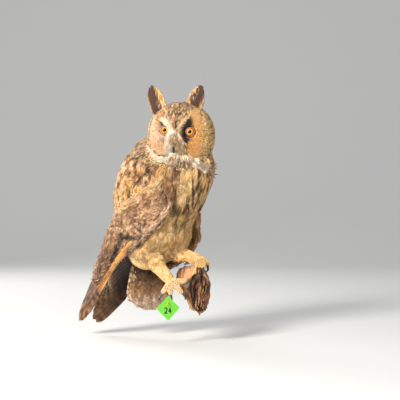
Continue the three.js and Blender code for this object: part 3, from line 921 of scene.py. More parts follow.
def blades(name, feathers, paint, *replaced, slot="flight_feathers"):
    parts = [blade(feather, number) for number, feather in enumerate(feathers)]
    points, faces, local, places, owner = joined(parts)
    piece = meshPiece(name, points, faces, flightPlume, slot, *replaced)
    setColour(piece, np.clip(paint(points, *local.T, owner), colourFloor, 1))
    setMap(piece.data, "OFBake", places, faces)
    setMap(piece.data, "vane", local, faces)
    print("%s: %d feathers, %d triangles" % (name, len(feathers), len(faces)))


flightPlume = plumeMaterial("flightPlumage", 0.6, 0.22)


def barred(ground, bar, along, across, number, period, share, sharp=0.2):
    # cross bars that lean towards the tip at both edges, out of step from feather to feather
    phase = along / period + 0.35 * np.abs(across) * 0.3 + 0.37 * number
    wave = 0.5 + 0.5 * np.cos(2 * math.pi * phase)
    return mix(ground, bar, ease(wave, 1 - share - sharp, 1 - share + sharp))


rightTip = {
    "root": (-120, -114, -66), "bend": (-160, -72, -127), "side": (0.62, -0.7, -0.35),
    "tips": [(-181, -42, -163), (-186, -40, -171), (-190, -39, -178), (-192, -40, -185), (-191, -43, -190),
             (-187, -46, -190), (-182, -50, -186), (-176, -54, -178), (-168, -58, -166)],
    "reach": (-9, 13), "half": 8.4, "face": (-0.5, -0.75, 0.35), "gap": 0.9,
}
leftTip = {
    "root": (-88, -30, -96), "bend": (-134, -28, -146), "side": (-0.35, -0.25, 0.9),
    "tips": [(-166, -20, -195), (-171, -22, -190), (-170, -24, -181), (-167, -26, -172), (-162, -28, -161),
             (-158, -30, -152), (-155, -32, -145), (-153, -34, -138), (-151, -36, -131), (-150, -38, -125)],
    "reach": (-14, 28), "half": 9.2, "face": (0.2, -1.0, 0.1), "gap": -0.9,
}


def stacked(wing):
    # the primaries lie one on another, a gap apart
    feathers = []
    amount = len(wing["tips"])
    side, face = np.array(wing["side"], float), unit(np.array(wing["face"], float))
    for i, tip in enumerate(wing["tips"]):
        place = wing["reach"][0] + (wing["reach"][1] - wing["reach"][0]) * i / (amount - 1)
        rise = face * wing["gap"] * (i - amount / 2)
        feathers.append({"start": np.array(wing["root"]) + side * place + rise,
                         "middle": np.array(wing["bend"]) + side * place * 1.05 + rise,
                         "end": np.array(tip, float) + rise * 0.6, "side": side, "face": face,
                         "half": wing["half"], "outer": 0.7})
    return feathers


def primaryPaint(points, along, across, number):
    # barred brown, with an orange patch near the roots of the outer ones
    warm = ease(number, 3, 6) * fade(along, 0.42, 0.62)
    colour = mix(tone["smoke"], tone["umber"], patchy(points, 5, 0.35, 0.7))
    return layered(
        barred(colour, tone["dark"], along, across, number, 0.16, 0.42),
        ("orange", warm * 0.95),
        ("umber", patchy(points, (2.6, 2.6, 6), 0.62, 0.8, 8) * 0.5),
        ("dark", bell(across, 0.1) * 0.75),
        ("buff", ease(np.abs(across), 0.82, 1.0) * 0.35),
        ("buff", patchy(points, 6, 0.5, 0.8, 31) * ease(along, 0.75, 1) * 0.5))


def undersidePaint(points, along, across, number):
    # black in the shade of the body, paler and barred towards the tips
    colour = layered(
        tone["black"],
        ("smoke", ease(along, 0.5, 0.85)),
        ("ash", blob(points, (-150, -35, -140), (9, 60, 13)) * 0.75))
    return layered(
        barred(colour, tone["umber"], along, across, number * 0.2, 0.13, 0.45),
        ("black", fade(along, 0.3, 0.5) * 0.9),
        ("buff", patchy(points, 6, 0.45, 0.8, 31) * ease(along, 0.7, 1) * 0.5),
        ("dark", bell(across, 0.09) * 0.6))


blades("rightPrimaries", stacked(rightTip), primaryPaint, "primaries_right")
blades("leftPrimaries", stacked(leftTip), undersidePaint, "primaries_left")

tail = {"feathers": 11, "fan": 20, "length": 106, "half": 9.5, "root": (-78, -72, -66), "spread": 15,
        "side": (0.8, 0.6, 0.0), "down": (0.0, 0.1, -0.995), "face": (0.6, -0.8, 0.0)}
tailSide, tailDown, tailFace = (np.array(tail[key], float) for key in ("side", "down", "face"))
rectrices = []
for i in range(tail["feathers"]):
    out = 2 * i / (tail["feathers"] - 1) - 1
    lean = math.radians(tail["fan"] * out)
    way = tailDown * math.cos(lean) + tailSide * math.sin(lean) * 0.62
    start = np.array(tail["root"]) + tailSide * tail["spread"] * out
    start = start + tailFace * (abs(out) * -1.5 + 0.4 * (i % 2))
    end = start + way * tail["length"] * (1 - 0.12 * out * out)
    rectrices.append({"start": start, "middle": (start + end) / 2 + heading * 3 * (1 - out * out), "end": end,
                      "side": tailSide, "face": tailFace, "half": tail["half"], "blunt": 3.0})


def rectrixPaint(points, along, across, number):
    colour = layered(tone["ash"], ("straw", patchy(points, 12, 0.3, 0.75) * 0.55))
    return layered(
        barred(colour, tone["umber"], along, across, 0.12 * number, 0.105, 0.2, 0.12),
        ("smoke", patchy(points, (3, 3, 2), 0.45, 0.75, 40) * 0.5),
        ("cream", ease(along, 0.93, 1.0) * 0.6))


blades("rectrices", rectrices, rectrixPaint, "tail")

# An ear tuft is a fan of stiff feathers in four layers, dark in the middle with a pale rim.
tufts = {
    "right": {"base": (-58, -124, 130), "tip": (-73, -128, 170), "lean": -2.6, "core": -0.32, "wide": 0.74},
    "left": {"base": (-15, -128, 128), "tip": (2, -133, 170), "lean": 2.6, "core": 0.1, "wide": 0.82},
}
tuftHalf = 11.2
tuftLayers = ((19, 0.0, 1.0), (16, -2.2, 0.95), (13, 1.4, 0.72), (11, 2.6, 0.45))  # feathers, forward, reach


def tuftQuills(tuft, base, rise, across0):
    quills = []
    for amount, forward, reach in tuftLayers:
        for i in range(amount):
            out = 2 * i / (amount - 1) - 1 + rng.uniform(-0.05, 0.05)
            top = reach * (1 - 0.24 * abs(out) ** 2.4 + rng.uniform(-0.05, 0.04))
            shift = headFront * (forward + 2.4 * (1 - abs(out)))
            start = base - rise * 0.1 + across0 * tuftHalf * 0.42 * out + shift * 0.5
            middle = base + rise * top * 0.5 + across0 * (tuftHalf * 0.98 * out + tuft["lean"] * 0.3) + shift
            end = base + rise * top + across0 * (tuftHalf * 0.76 * out - tuft["lean"] * 0.25)
            end = end + headFront * forward
            quills.append({"start": start, "middle": middle, "end": end, "side": across0, "face": headFront,
                           "half": 1.7, "camber": 0.3, "thick": 0.25, "blunt": 1.3})
    return quills


for name, tuft in tufts.items():
    base, tip = np.array(tuft["base"], float), np.array(tuft["tip"], float)
    rise = tip - base
    across0 = unit(headLeft - (headLeft @ unit(rise)) * unit(rise))

    def tuftPaint(points, along, across, number):
        offset = points - base
        t = (offset @ rise) / (rise @ rise)
        s = (offset @ across0) / tuftHalf
        core = np.exp(-(np.abs((s - tuft["core"]) / tuft["wide"]) ** 4)) * ease(t, -0.1, 0.12)
        core = core * fade(t, 0.95, 1.12)
        inwards = s * np.sign(-tuft["core"])
        colour = layered(
            tone["orange"],
            ("straw", patchy(points, (2, 2, 5), 0.3, 0.7, 3)),
            ("brown", patchy(points, (1.4, 1.4, 7), 0.36, 0.56, 43) * 0.9),
            ("cream", ease(np.abs(s), 0.8, 1.05) * 0.5),
            ("sable", np.clip(core * 1.15, 0, 0.97)),
            ("cream", patchy(points, (1.6, 1.6, 6), 0.56, 0.7, 77) * ease(inwards, -0.1, 0.3) * 0.7),
            ("dark", core * bell(across, 0.2) * 0.6))
        # painted shade: darker towards the quills' roots, where the layers cover each other
        return colour * (0.54 + 0.28 * ease(along, 0.0, 0.5))[:, None]

    blades("earTuft" + name.title(), tuftQuills(tuft, base, rise, across0), tuftPaint, "ear_tuft_" + name,
           slot="ear_tuft")
print("long feathers: done")


def curved(path, t):
    # places along a smooth curve through the points of a path
    knots = np.concatenate([[2 * path[0] - path[1]], path, [2 * path[-1] - path[-2]]])
    spot = t * (len(path) - 1)
    cell = np.minimum(spot.astype(int), len(path) - 2)
    f = (spot - cell)[:, None]
    a, b, c, d = (knots[cell + k] for k in range(4))
    squared, cubed = 2 * a - 5 * b + 4 * c - d, 3 * b - a - 3 * c + d
    return 0.5 * (2 * b + (c - a) * f + squared * f ** 2 + cubed * f ** 3)


def sweep(path, wide, deep, side, sides, rings):
    # a closed solid round a smooth path, pinched shut at both ends
    t = np.linspace(0, 1, rings)
    centre = curved(np.asarray(path, float), t)
    tangent = unit(np.gradient(centre, axis=0))
    side = np.asarray(side, float)
    across = unit(side - (tangent @ side)[:, None] * tangent)
    up = np.cross(across, tangent)
    w, h = (np.interp(t, np.linspace(0, 1, len(halves)), halves)[:, None] for halves in (wide, deep))
    turn = np.linspace(0, 2 * math.pi, sides, endpoint=False)
    x, y = np.cos(turn), np.sin(turn)
    ring = centre[:, None] + across[:, None] * (w * x)[..., None] + up[:, None] * (h * y)[..., None]
    points = np.concatenate([centre[:1], ring.reshape(-1, 3), centre[-1:]])
    runs = np.concatenate([[0], np.repeat(t, sides), [1]])
    return points, facedOut(points, ringFaces(sides, rings), points.mean(0)), runs


def swept(name, solids, paint, material, slot, *replaced):
    parts = [(points, faces, runs, np.full(len(points), number))
             for number, (points, faces, runs) in enumerate(solids)]
    points, faces, runs, owner = joined(parts)
    piece = meshPiece(name, points, faces, material, slot, *replaced)
    setColour(piece, np.clip(paint(points, runs, owner), 0.002, 1))


hornMaterial = markedMaterial("darkHorn", 0.32, Coat_Weight=0.35, Coat_Roughness=0.2)
eyeMaterial = markedMaterial("glassEye", 0.14, Coat_Weight=0.14, Coat_Roughness=0.04, Specular_IOR_Level=0.12)
lidMaterial = markedMaterial("lidSkin", 0.55)


def hornPaint(points, t, number):
    return mix(shade(66, 56, 50), shade(22, 18, 18), ease(t, 0.25, 0.9))


# The halves of the bill run through (forward, side, height) places on the head, with half widths and depths.
bill = {
    "upper": {"path": ((33, 0, -5), (41.5, 0, -11.5), (44.6, 0, -21), (42.2, 0, -30.6)),
              "wide": (3.0, 4.4, 4.2, 3.2, 1.8, 0.5), "deep": (3.0, 4.2, 4.2, 3.2, 1.8, 0.5),
              "sides": 20, "rings": 30},
    "lower": {"path": ((33, 0, -20), (38.6, 0, -25.2), (40.8, 0, -29.8)),
              "wide": (3.0, 3.6, 2.6, 0.8), "deep": (1.8, 2.0, 1.5, 0.6), "sides": 16, "rings": 18},
}
for name, half in bill.items():
    path = [onHead(*place) for place in half["path"]]
    solid = sweep(path, half["wide"], half["deep"], headLeft, half["sides"], half["rings"])
    swept(name + "Bill", [solid], hornPaint, hornMaterial, "bill", "bill_" + name)

clawShape = {"wide": (1.7, 1.75, 1.5, 1.1, 0.35), "deep": (1.8, 1.85, 1.6, 1.15, 0.35), "crown": 3.4,
             "back": 3}
for side, feet in toes.items():
    for number, places in enumerate(feet, 1):
        knuckle, end, claw = (np.array(p, float) for p in places)
        way = unit(end - knuckle)
        crown = (end + way * clawShape["crown"]) * 0.7 + claw * 0.3
        solid = sweep([end - way * clawShape["back"], crown, claw], clawShape["wide"], clawShape["deep"],
                      np.cross(claw - end, way), 12, 18)
        swept("claw%s%d" % (side.title(), number), [solid], hornPaint, hornMaterial, "claw",
              "claw_%s_%d" % (side, number))

# The eyes are glossy amber balls, with bands in degrees from the gaze. A lid's profile is a closed outline of
# (radius, place along the gaze).
bands = {"pupil": (21.5, 23), "inner": (22.5, 25.5), "warm": (24, 40), "edge": (38, 44), "rim": (43.5, 46)}
lidProfile = np.array([(5.3, 5.6), (5.5, 5.98), (5.9, 6.08), (6.35, 5.7), (7.0, 4.3), (7.9, 2.0), (7.3, 0.8),
                       (6.4, 2.8), (5.7, 4.7)])
gazeSide = unit(np.cross(gaze, np.array([0, 0, 1.0])))
gazeUp = np.cross(gazeSide, gaze)


def circle(amount):
    turn = np.linspace(0, 2 * math.pi, amount, endpoint=False)
    return turn, gazeSide * np.cos(turn)[:, None] + gazeUp * np.sin(turn)[:, None]


def eyeColour(ball):
    degrees = np.degrees(np.arccos(np.clip(ball @ gaze, -1, 1)))
    spoke = np.arctan2(ball @ gazeUp, ball @ gazeSide)
    streak = noise(np.stack([np.cos(spoke) * 30, np.sin(spoke) * 30, degrees * 0.2], 1), 2.2)
    colour = mix(shade(240, 166, 48), shade(206, 112, 22), ease(degrees, *bands["warm"]) * 0.8 + 0.2 * streak)
    brown = ease(degrees, *bands["edge"]) * 0.9 + 0.5 * fade(degrees, *bands["inner"])
    colour = mix(colour, shade(96, 40, 14), brown)
    colour = mix(colour, shade(8, 6, 6), fade(degrees, *bands["pupil"]))
    return mix(colour, shade(40, 24, 24), ease(degrees, *bands["rim"]))


def eyeball(rings=60, sides=48):
    angle = np.linspace(0, math.pi, rings + 2)[1:-1]
    ball = gaze * np.cos(angle)[:, None, None] + np.sin(angle)[:, None, None] * circle(sides)[1][None]
    ball = np.concatenate([[gaze], ball.reshape(-1, 3), [-gaze]])
    return ball, facedOut(ball, ringFaces(sides, rings), 0)


def lid(centre, index, around=64):
    # a leathery ring with a slight hood over the eye
    amount = len(lidProfile)
    turn, spokes = circle(around)
    wave = 1 + 0.02 * np.sin(3 * turn + index) + 0.012 * np.sin(11 * turn)
    hood = 0.35 * np.clip(np.sin(turn), 0, 1)
    ring = (centre + gaze * (lidProfile[:, 1][None] + hood[:, None])[..., None]
            + spokes[:, None] * (lidProfile[:, 0][None] * wave[:, None])[..., None])
    grid = np.arange(around * amount).reshape(around, amount)
    turned = np.roll(grid, -1, 0)
    faces = halved(grid, turned, np.roll(turned, -1, 1), np.roll(grid, -1, 1))
    points = ring.reshape(-1, 3)
    middle = ring.mean(1, keepdims=True).repeat(amount, 1).reshape(-1, 3)
    radius = np.tile(lidProfile[:, 0], around)
    edge = ease(radius, 6.1, 7.2)[:, None]
    colour = mix(np.tile(shade(60, 40, 42), (len(points), 1)), shade(124, 98, 100), ease(radius, 5.5, 6.2))
    colour = colour * (1 - edge) + faceMarks(points) * 0.85 * edge
    return points, facedOut(points, faces, middle[faces[:, 0]]), colour


for name, centre in zip(("right", "left"), eyePlaces):
    ball, faces = eyeball()
    piece = meshPiece("eye" + name.title(), centre + ball * eye["radius"], faces, eyeMaterial, "eye",
                      "eye_" + name)
    setColour(piece, eyeColour(ball))
points, faces, colours = joined([lid(centre, index) for index, centre in enumerate(eyePlaces)])
setColour(meshPiece("eyelids", points, faces, lidMaterial, "head_plumage"), colours)
print("head: eyes, lids and bill")


def frontal(surface, x, z):
    # the point of a surface that lies straight behind a place on the front view, or the nearest to it
    hits = [surface["tree"].ray_cast((a, -400.0, b), (0.0, 1.0, 0.0)) for a, b in zip(x.tolist(), z.tolist())]
    near = [surface["tree"].find_nearest((a, -140.0, b)) for a, b in zip(x.tolist(), z.tolist())]
    return [hit if hit[0] is not None else other for hit, other in zip(hits, near)]


def rootsAt(surface, starts, ends, depth):
    hits = frontal(surface, *starts.T)
    place, normal, index = (np.array([hit[i] for hit in hits]) for i in range(3))
    goal = np.array([hit[0] for hit in frontal(surface, *ends.T)])
    return {"place": place, "root": place - normal * depth, "normal": normal, "lie": unit(goal - place),
            "depth": np.full(len(place), depth), "uv": surface["uv"][index].mean(1)}


def strewn(path, toward, amount, half):
    # starts spread along a path on the front view, each with its own goal
    path, toward = np.array(path, float), np.array(toward, float)
    t = rng.uniform(0, len(path) - 1, amount)
    cell = np.minimum(t.astype(int), len(path) - 2)
    f = (t - cell)[:, None]
    starts = path[cell] * (1 - f) + path[cell + 1] * f
    ways = toward[cell] * (1 - f) + toward[cell + 1] * f
    starts = starts + rng.normal(0, half / 2, (amount, 2))
    return starts, starts + ways


def plain(row):
    # each lock takes one of a few colours, darker along its shaft, and darker at its base, partly its grey
    # down and partly painted shade
    def paint(points, along, across, owner, roots, size):
        chance = np.random.default_rng(11)
        pick = chance.integers(0, len(row["colours"]), owner.max() + 1)[owner]
        colour = np.array([tone[name] for name in row["colours"]])[pick]
        if "shaft" in row:
            colour = layered(colour, (row["shaft"], bell(across, 0.12) * 0.7))
        return variedAndBaseShaded(colour, along, owner, chance, row["vary"], row["base"], 0.05, 0.5)
    return paint


# Plumes laid one by one. A row runs along a path of (x, z) places on the front view, and its plumes point the
# ways in "toward". "base" is the brightness of a plume's base, partly its grey down and partly painted shade,
# and "vary" how much one differs from the next.
common = {"kind": "fine", "slot": "head_plumage", "base": 0.72, "vary": 0.1, "sway": 10}
onBody = {"slot": "body_plumage"}
onWing = {"slot": "wing_coverts", "kind": "broad", "shaft": "umber", "base": 0.6}
rows = {
    "browWhite": {
        "path": [(-43, 93), (-45, 101), (-48, 109), (-51, 116)],
        "toward": [(-2, 9), (-3, 9), (-4, 8), (-6, 6)],
        "amount": 380, "half": 3.2, "length": 10, "width": 1.25, "lift": 1.6,
        "colours": ("blush", "blush", "frost")},
    "browThin": {
        "path": [(-39, 96), (-33, 104), (-26, 113), (-20, 120)], "toward": [(5, 7), (6, 8), (6, 7), (7, 5)],
        "amount": 90, "half": 0.8, "length": 8, "width": 0.8, "lift": 1.8, "colours": ("cream", "blush")},
    "bristleWhite": {
        "path": [(-41, 109), (-43, 102), (-45, 95), (-46, 89), (-47, 83)],
        "toward": [(-1, -12), (-1, -12), (-1, -12), (-1, -12), (0, -12)],
        "amount": 620, "half": 3.4, "length": 16, "width": 1.25, "lift": 2.4,
        "colours": ("hoar", "hoar", "hoar", "blush"), "base": 0.92, "vary": 0.14},
    "bristleOlive": {
        "path": [(-36, 102), (-33, 96), (-31, 90), (-29, 84)],
        "toward": [(1, -12), (2, -12), (2, -12), (2, -11)],
        "amount": 460, "half": 3.8, "length": 20, "width": 1.2, "lift": 4.0,
        "colours": ("cream", "petal", "olive", "straw", "petal"), "base": 0.9, "vary": 0.2},
    "bristleRidge": {
        "path": [(-38.5, 104), (-38.5, 98), (-38.5, 92)], "toward": [(-0.5, -12), (0.3, -12), (0, -12)],
        "amount": 170, "half": 2.6, "length": 15, "width": 1.3, "lift": 7.5,
        "colours": ("ash", "straw", "frost", "brown"), "base": 0.85, "vary": 0.2},
    "chinFan": {
        "path": [(-38, 71), (-31, 72), (-23, 71)], "toward": [(-6, -18), (0, -19), (7, -18)],
        "amount": 64, "half": 3.2, "kind": "small", "length": 23, "width": 6.2, "lift": 8.5,
        "colours": ("hoar", "petal", "cream", "brown"), "shaft": "dark", "base": 0.4, "vary": 0.2},
    "chinFluff": {
        "path": [(-66, 63), (-58, 59), (-50, 59), (-43, 63)], "toward": [(7, -5), (8, -2), (8, 1), (5, 5)],
        "amount": 170, "half": 2.4, "kind": "small", "length": 10, "width": 4.4, "lift": 5.0,
        "colours": ("hoar", "snow", "hoar"), "base": 0.85},
    "chinSpikes": {
        "path": [(-74, 80), (-69, 71), (-61, 65), (-52, 63)],
        "toward": [(-6, -4), (-4, -6), (-1, -8), (2, -8)],
        "amount": 150, "half": 2.6, "length": 8, "width": 1.5, "lift": 1.6,
        "colours": ("snow", "blush", "umber", "blush")},
    "neckPatch": {
        "path": [(-14, 52), (-4, 50), (6, 48), (13, 46)], "toward": [(9, 1), (9, 0), (8, -2), (7, -3)],
        "amount": 150, "half": 4.0, "kind": "soft", "length": 13, "width": 6.5, "lift": 3.0,
        "colours": ("hoar", "snow", "petal"), **onBody},
    "neckSpikes": {
        "path": [(12, 48), (17, 44), (17, 38)], "toward": [(9, 1), (9, -3), (7, -6)],
        "amount": 60, "half": 3.0, "length": 13, "width": 1.8, "lift": 9.0,
        "colours": ("brown", "straw", "umber"), **onBody},
    "scapulars": {
        **onWing, "path": [(-50, 34), (-66, 27), (-84, 16), (-100, 5), (-114, -8)],
        "toward": [(-7, -8), (-8, -8), (-8, -9), (-7, -10), (-6, -11)],
        "amount": 76, "half": 1.6, "length": 19, "width": 7.5, "lift": 2.6, "sway": 5,
        "colours": ("blush", "cream", "straw")},
    "outerCoverts": {
        **onWing, "path": [(-128, -24), (-140, -48), (-150, -76), (-158, -100)],
        "toward": [(-8, -16), (-8, -18), (-8, -20), (-8, -20)],
        "amount": 46, "half": 5.0, "length": 36, "width": 7.5, "lift": 1.6, "sway": 4,
        "colours": ("rose", "smoke", "brown"), "shaft": "dark"},
    "wingEdge": {
        **onWing, "path": [(-36, 10), (-44, -12), (-60, -32), (-80, -52), (-96, -62)],
        "toward": [(-4, -10), (-8, -9), (-9, -8), (-9, -8), (-9, -8)],
        "amount": 90, "half": 1.4, "length": 22, "width": 5.0, "lift": 1.6, "sway": 4,
        "colours": ("blush", "petal", "cream")},
}
for name, row in rows.items():
    row = {**common, **row}
    roots = rootsAt(skinSurface, *strewn(row["path"], row["toward"], row["amount"], row["half"]), 1.5)
    grow(name, roots, skinSurface, row["kind"], row["length"], row["width"], plain(row),
         faceHair if row["kind"] == "fine" else softPlume, row["slot"], row["lift"], row["sway"])

# Two long pale quills lie along the lower edge of the right wing. Their first two places are (x, z) on the
# front view, and "rise" is how far a quill stands off the wing there.
quills = (
    {"start": (-96, -50), "middle": (-122, -87), "tip": (-154, -84, -130), "half": 4.8},
    {"start": (-90, -50), "middle": (-118, -88), "tip": (-157, -84, -138), "half": 2.6},
)
quillLook = {"rise": (-3.0, 4.0), "side": (0.8, 0.1, -0.6), "face": (-0.2, -1.0, 0.1), "outer": 0.7,
             "blunt": 0.9}
edgeQuills = []
for quill in quills:
    x, z = np.array([quill["start"], quill["middle"]], float).T
    start, middle = (np.array(hit[0]) - np.array([0, rise, 0])
                     for hit, rise in zip(frontal(skinSurface, x, z), quillLook["rise"]))
    edgeQuills.append({**quillLook, "start": start, "middle": middle, "end": quill["tip"],
                       "half": quill["half"]})


def quillPaint(points, along, across, number):
    return layered(
        tone["orange"],
        ("brown", ease(along, 0.6, 0.95)),
        ("umber", patchy(points, (3, 3, 9), 0.62, 0.75, 8) * 0.6),
        ("dark", bell(across + 0.1, 0.12) * 0.9),
        ("petal", ease(across, 0.72, 0.86) * 0.8),
        ("dark", ease(-across, 0.6, 0.85) * 0.8))


blades("edgeQuills", edgeQuills, quillPaint)


def ruffPaint(points, along, across, owner, roots, size):
    # small stiff feathers round the discs, dark with pale ends
    darker = (np.random.default_rng(5).random(owner.max() + 1) < 0.5)[owner]
    return layered(
        np.where(darker[:, None], tone["brown"], tone["buff"]),
        ("dark", patchy(points, 3.2, 0.54, 0.64, 9) * 0.9),
        ("cream", ease(along, 0.7, 0.88) * 0.9))


ruffBand = isHead & (faceF > -4) & (discRim > 0.96) & (discRim < 1.14) & (faceH < 26)
roots = scatter(skinSurface, ruffBand, 1.6)
grow("ruffFeathers", roots, skinSurface, "stiff", 8.0, 2.1, ruffPaint, softPlume, "head_plumage", 1.3, 14)

# Under-tail fluff and upper tail coverts lie over the root of the tail.
under = {"voxel": 0.0024, "coat": 1.2, "fluffEnd": -158, "covertsEnd": -118, "bar": 9.5}
tailMesh = remeshed("tailCore", ["tail"], under["voxel"], 0, 8)
tailOuter, tailOutward = pointsOf(tailMesh)
flat = np.stack([tailOuter @ tailSide, tailOuter[:, 2]], 1)
flat = 0.02 + 0.96 * (flat - flat.min(0)) / (flat.max(0) - flat.min(0))
corners = np.empty(len(tailMesh.loops), np.int64)
tailMesh.loops.foreach_get("vertex_index", corners)
setMap(tailMesh, "OFBake", flat, corners)
sideways = ((tailOuter - np.array(tail["root"])) @ tailSide)[:, None]
tailSurface = surfaceOf(tailMesh, tailOuter, tailOuter - tailOutward * under["coat"], tailOutward,
                        unit(tailDown + tailSide * sideways * 0.012), np.full(len(tailOuter), under["coat"]))
facing = tailOutward @ tailFace


def fluffPaint(points, along, across, owner, roots, size):
    # painted shadow: dark at the top, where the body shades it, then rosy grey with faint cross bars; each
    # plume is also darker at its base, painted shade
    z = points[:, 2]
    low = fade(z, -144, -112)
    bar = 0.5 + 0.5 * np.cos(2 * math.pi * (z + 4 * noise(points + 50, 14)) / under["bar"])
    colour = layered(
        mix(tone["dark"] * 0.8, mix(tone["rose"], tone["petal"], fade(z, -154, -140)), low),
        ("brown", ease(bar, 0.86, 0.98) * low * ease(z, -152, -144) * 0.55),
        ("smoke", patchy(points, (2.4, 2.4, 3), 0.52, 0.75, 50) * 0.5))
    light = np.random.default_rng(7).normal(1, 0.12, owner.max() + 1)[owner]
    return np.clip(colour * (light * (0.75 + 0.3 * ease(along, 0.1, 0.6)))[:, None], colourFloor, 1)


roots = scatter(tailSurface, (facing > 0.1) & (tailOuter[:, 2] > under["fluffEnd"]), 3.2)
grow("tailFluff", roots, tailSurface, "soft", 24, 11, fluffPaint, softPlume, "body_plumage", 3.2, 16)
roots = scatter(tailSurface, (facing < -0.1) & (tailOuter[:, 2] > under["covertsEnd"]), 4.5)
grow("tailCoverts", roots, tailSurface, "leaf", 24, 12, painter("back", 0.6, "cream", 0.3), softPlume,
     "body_plumage", 0.8)
bpy.data.meshes.remove(tailMesh)

# The stub: weathered bark, a splintered broken end with a split and a hollow, and a pale sawn side limb.
wood = {"voxel": 0.001, "split": 3.4, "ridge": 3.4, "hollow": 4.5, "dish": 2.4, "crease": 2.2, "bark": 0.9,
        "ragged": 3.2, "splinters": 60}
woodShades = {"pale": (214, 178, 142), "tan": (186, 136, 94), "bark": (122, 82, 58), "brown": (84, 54, 40),
              "deep": (38, 25, 22), "rust": (150, 86, 60), "edge": (222, 186, 142)}
woodTone = {name: shade(*colour) * np.array([0.85, 0.74, 0.56]) for name, colour in woodShades.items()}
stubMesh = remeshed("brokenStub", ["stump"], wood["voxel"], 0, 2)
stub, stubOut = pointsOf(stubMesh)
stubX, stubY, stubZ = stub.T
fibre = noise(stub + 12, (2.6, 26, 24)) * 0.45 + noise(stub + 70, (1.2, 14, 9)) * 0.55
broken = fade(stubY, -134, -122) * fade(stubOut[:, 1], -0.5, 0.1)
upright = (stubZ + 137) / 30
rim = np.hypot((stubX + 1) / 19, upright)
split = bell(stubX + 5 - 2.2 * np.sin(stubZ / 6.5), 2.1) * fade(np.abs(upright + 0.05), 0.7, 0.95)
cavity = blob(stub, (1.5, -146, -159), (6, 30, 5.5))
knot = blob(stub, (7, -146, -132), (2.7, 30, 3.4))
slant = (stubX + 16) * 0.78 + (stubZ + 109) * 0.62
aside = (stubZ + 109) * 0.78 - (stubX + 16) * 0.62
limb = fade(np.abs(slant), 12, 22) * fade(np.abs(aside - 2), 5, 10)
crease = bell(aside + 8, 1.8) * fade(np.abs(slant), 14, 24)
push = broken * (wood["ridge"] * (fibre - 0.5) * 2 - wood["split"] * split - wood["hollow"] * cavity
                 - wood["dish"] * fade(rim, 0.4, 0.85) * (1 - limb) - wood["crease"] * crease)
push += (1 - broken) * wood["bark"] * (fibre - 0.5)
offWall = fade(stubY, -6, -1.5)
shaped = stub + stubOut * (push * (1 - 0.8 * limb) * offWall)[:, None]
shaped[:, 2] += -wood["ragged"] * fade(stubZ, -160, -152) * (noise(stub + 4, (2.6, 9, 60)) - 0.4) * offWall
reshaped(stubMesh, shaped)

bark = mix(woodTone["tan"], woodTone["bark"], ease(fibre, 0.35, 0.62))
sawn = mix(woodTone["pale"], woodTone["tan"], ease(fibre, 0.4, 0.75))
inside = mix(woodTone["brown"], woodTone["tan"], ease(fibre, 0.45, 0.7))
inside = mix(inside, woodTone["deep"], fade(fibre, 0.3, 0.46))
inside = mix(inside, woodTone["rust"], patchy(stub, 8, 0.5, 0.75, 30) * 0.45)
inside = mix(inside, woodTone["edge"], ease(rim, 0.84, 1.0) * patchy(stub, (5, 20, 9), 0.3, 0.55, 61) * 0.85)
colour = mix(bark, inside * 0.72, broken)
colour = mix(colour, sawn, limb * fade(stubY, -124, -112) * 0.95)
# painted shade deep in the split, the crease under the limb and the hollow, together with the knot's own dark
# colour
hollowShadeAndKnot = np.clip(split * 1.1 + crease + cavity * 1.2 + knot * 1.5, 0, 0.95) * fade(stubY, -128, -118)
colour = mix(colour, woodTone["deep"], hollowShadeAndKnot)

woodMaterial = plumeMaterial("weatheredWood", 0.78, 0.35, barbs=False)
made, links = woodMaterial.node_tree.nodes, woodMaterial.node_tree.links
stretch = addNode(made, "Mapping", Scale=(1.0, 0.14, 0.12))
grain = addNode(made, "TexNoise", Scale=1100, Detail=4)
relief = addNode(made, "Bump", Strength=0.7, Distance=0.0012)
links.new(made["Texture Coordinate"].outputs["Object"], stretch.inputs["Vector"])
links.new(stretch.outputs["Vector"], grain.inputs["Vector"])
links.new(stretch.outputs["Vector"], made["Noise Texture"].inputs["Vector"])
links.new(grain.outputs["Fac"], relief.inputs["Height"])
links.new(relief.outputs["Normal"], made["Principled BSDF"].inputs["Normal"])
stubMesh.materials.append(woodMaterial)
setColour(placed("brokenStub", stubMesh, "wood", "stump"), np.clip(colour, colourFloor, 1))

splinters = []
for i in range(wood["splinters"]):
    short = i % 3 != 0
    x = rng.uniform(-16, 14)
    z = rng.uniform(-161, -150) if short else rng.uniform(-150, -122)
    away = np.abs(shaped[:, 0] - x) + np.abs(shaped[:, 2] - z) + 0.4 * (shaped[:, 1] + 150)
    start = shaped[np.argmin(away)] + np.array([0, 1.5, 3.0])
    length = rng.uniform(5, 9) if short else rng.uniform(8, 18)
    end = start + np.array([rng.uniform(-1.5, 1.5), rng.uniform(-2.2, -0.6), -length])
    end[2] = max(end[2], -170)
    thick = rng.uniform(0.6, 1.3)
    splinters.append(sweep([start, (start + end) / 2 + rng.normal(0, 0.5, 3), end],
                           (thick, thick * 0.9, thick * 0.5, 0.15), (thick * 0.6,) * 2 + (0.3, 0.12),
                           (1, 0, 0), 7, 10))


def splinterPaint(points, t, number):
    colour = mix(woodTone["brown"], woodTone["edge"], ((number * 37) % 10) / 10)
    # painted shade: darker towards the root, where the splinter leaves the stub
    return mix(colour, woodTone["deep"], fade(t, 0, 0.3) * 0.5)


swept("splinters", splinters, splinterPaint, woodMaterial, "wood")

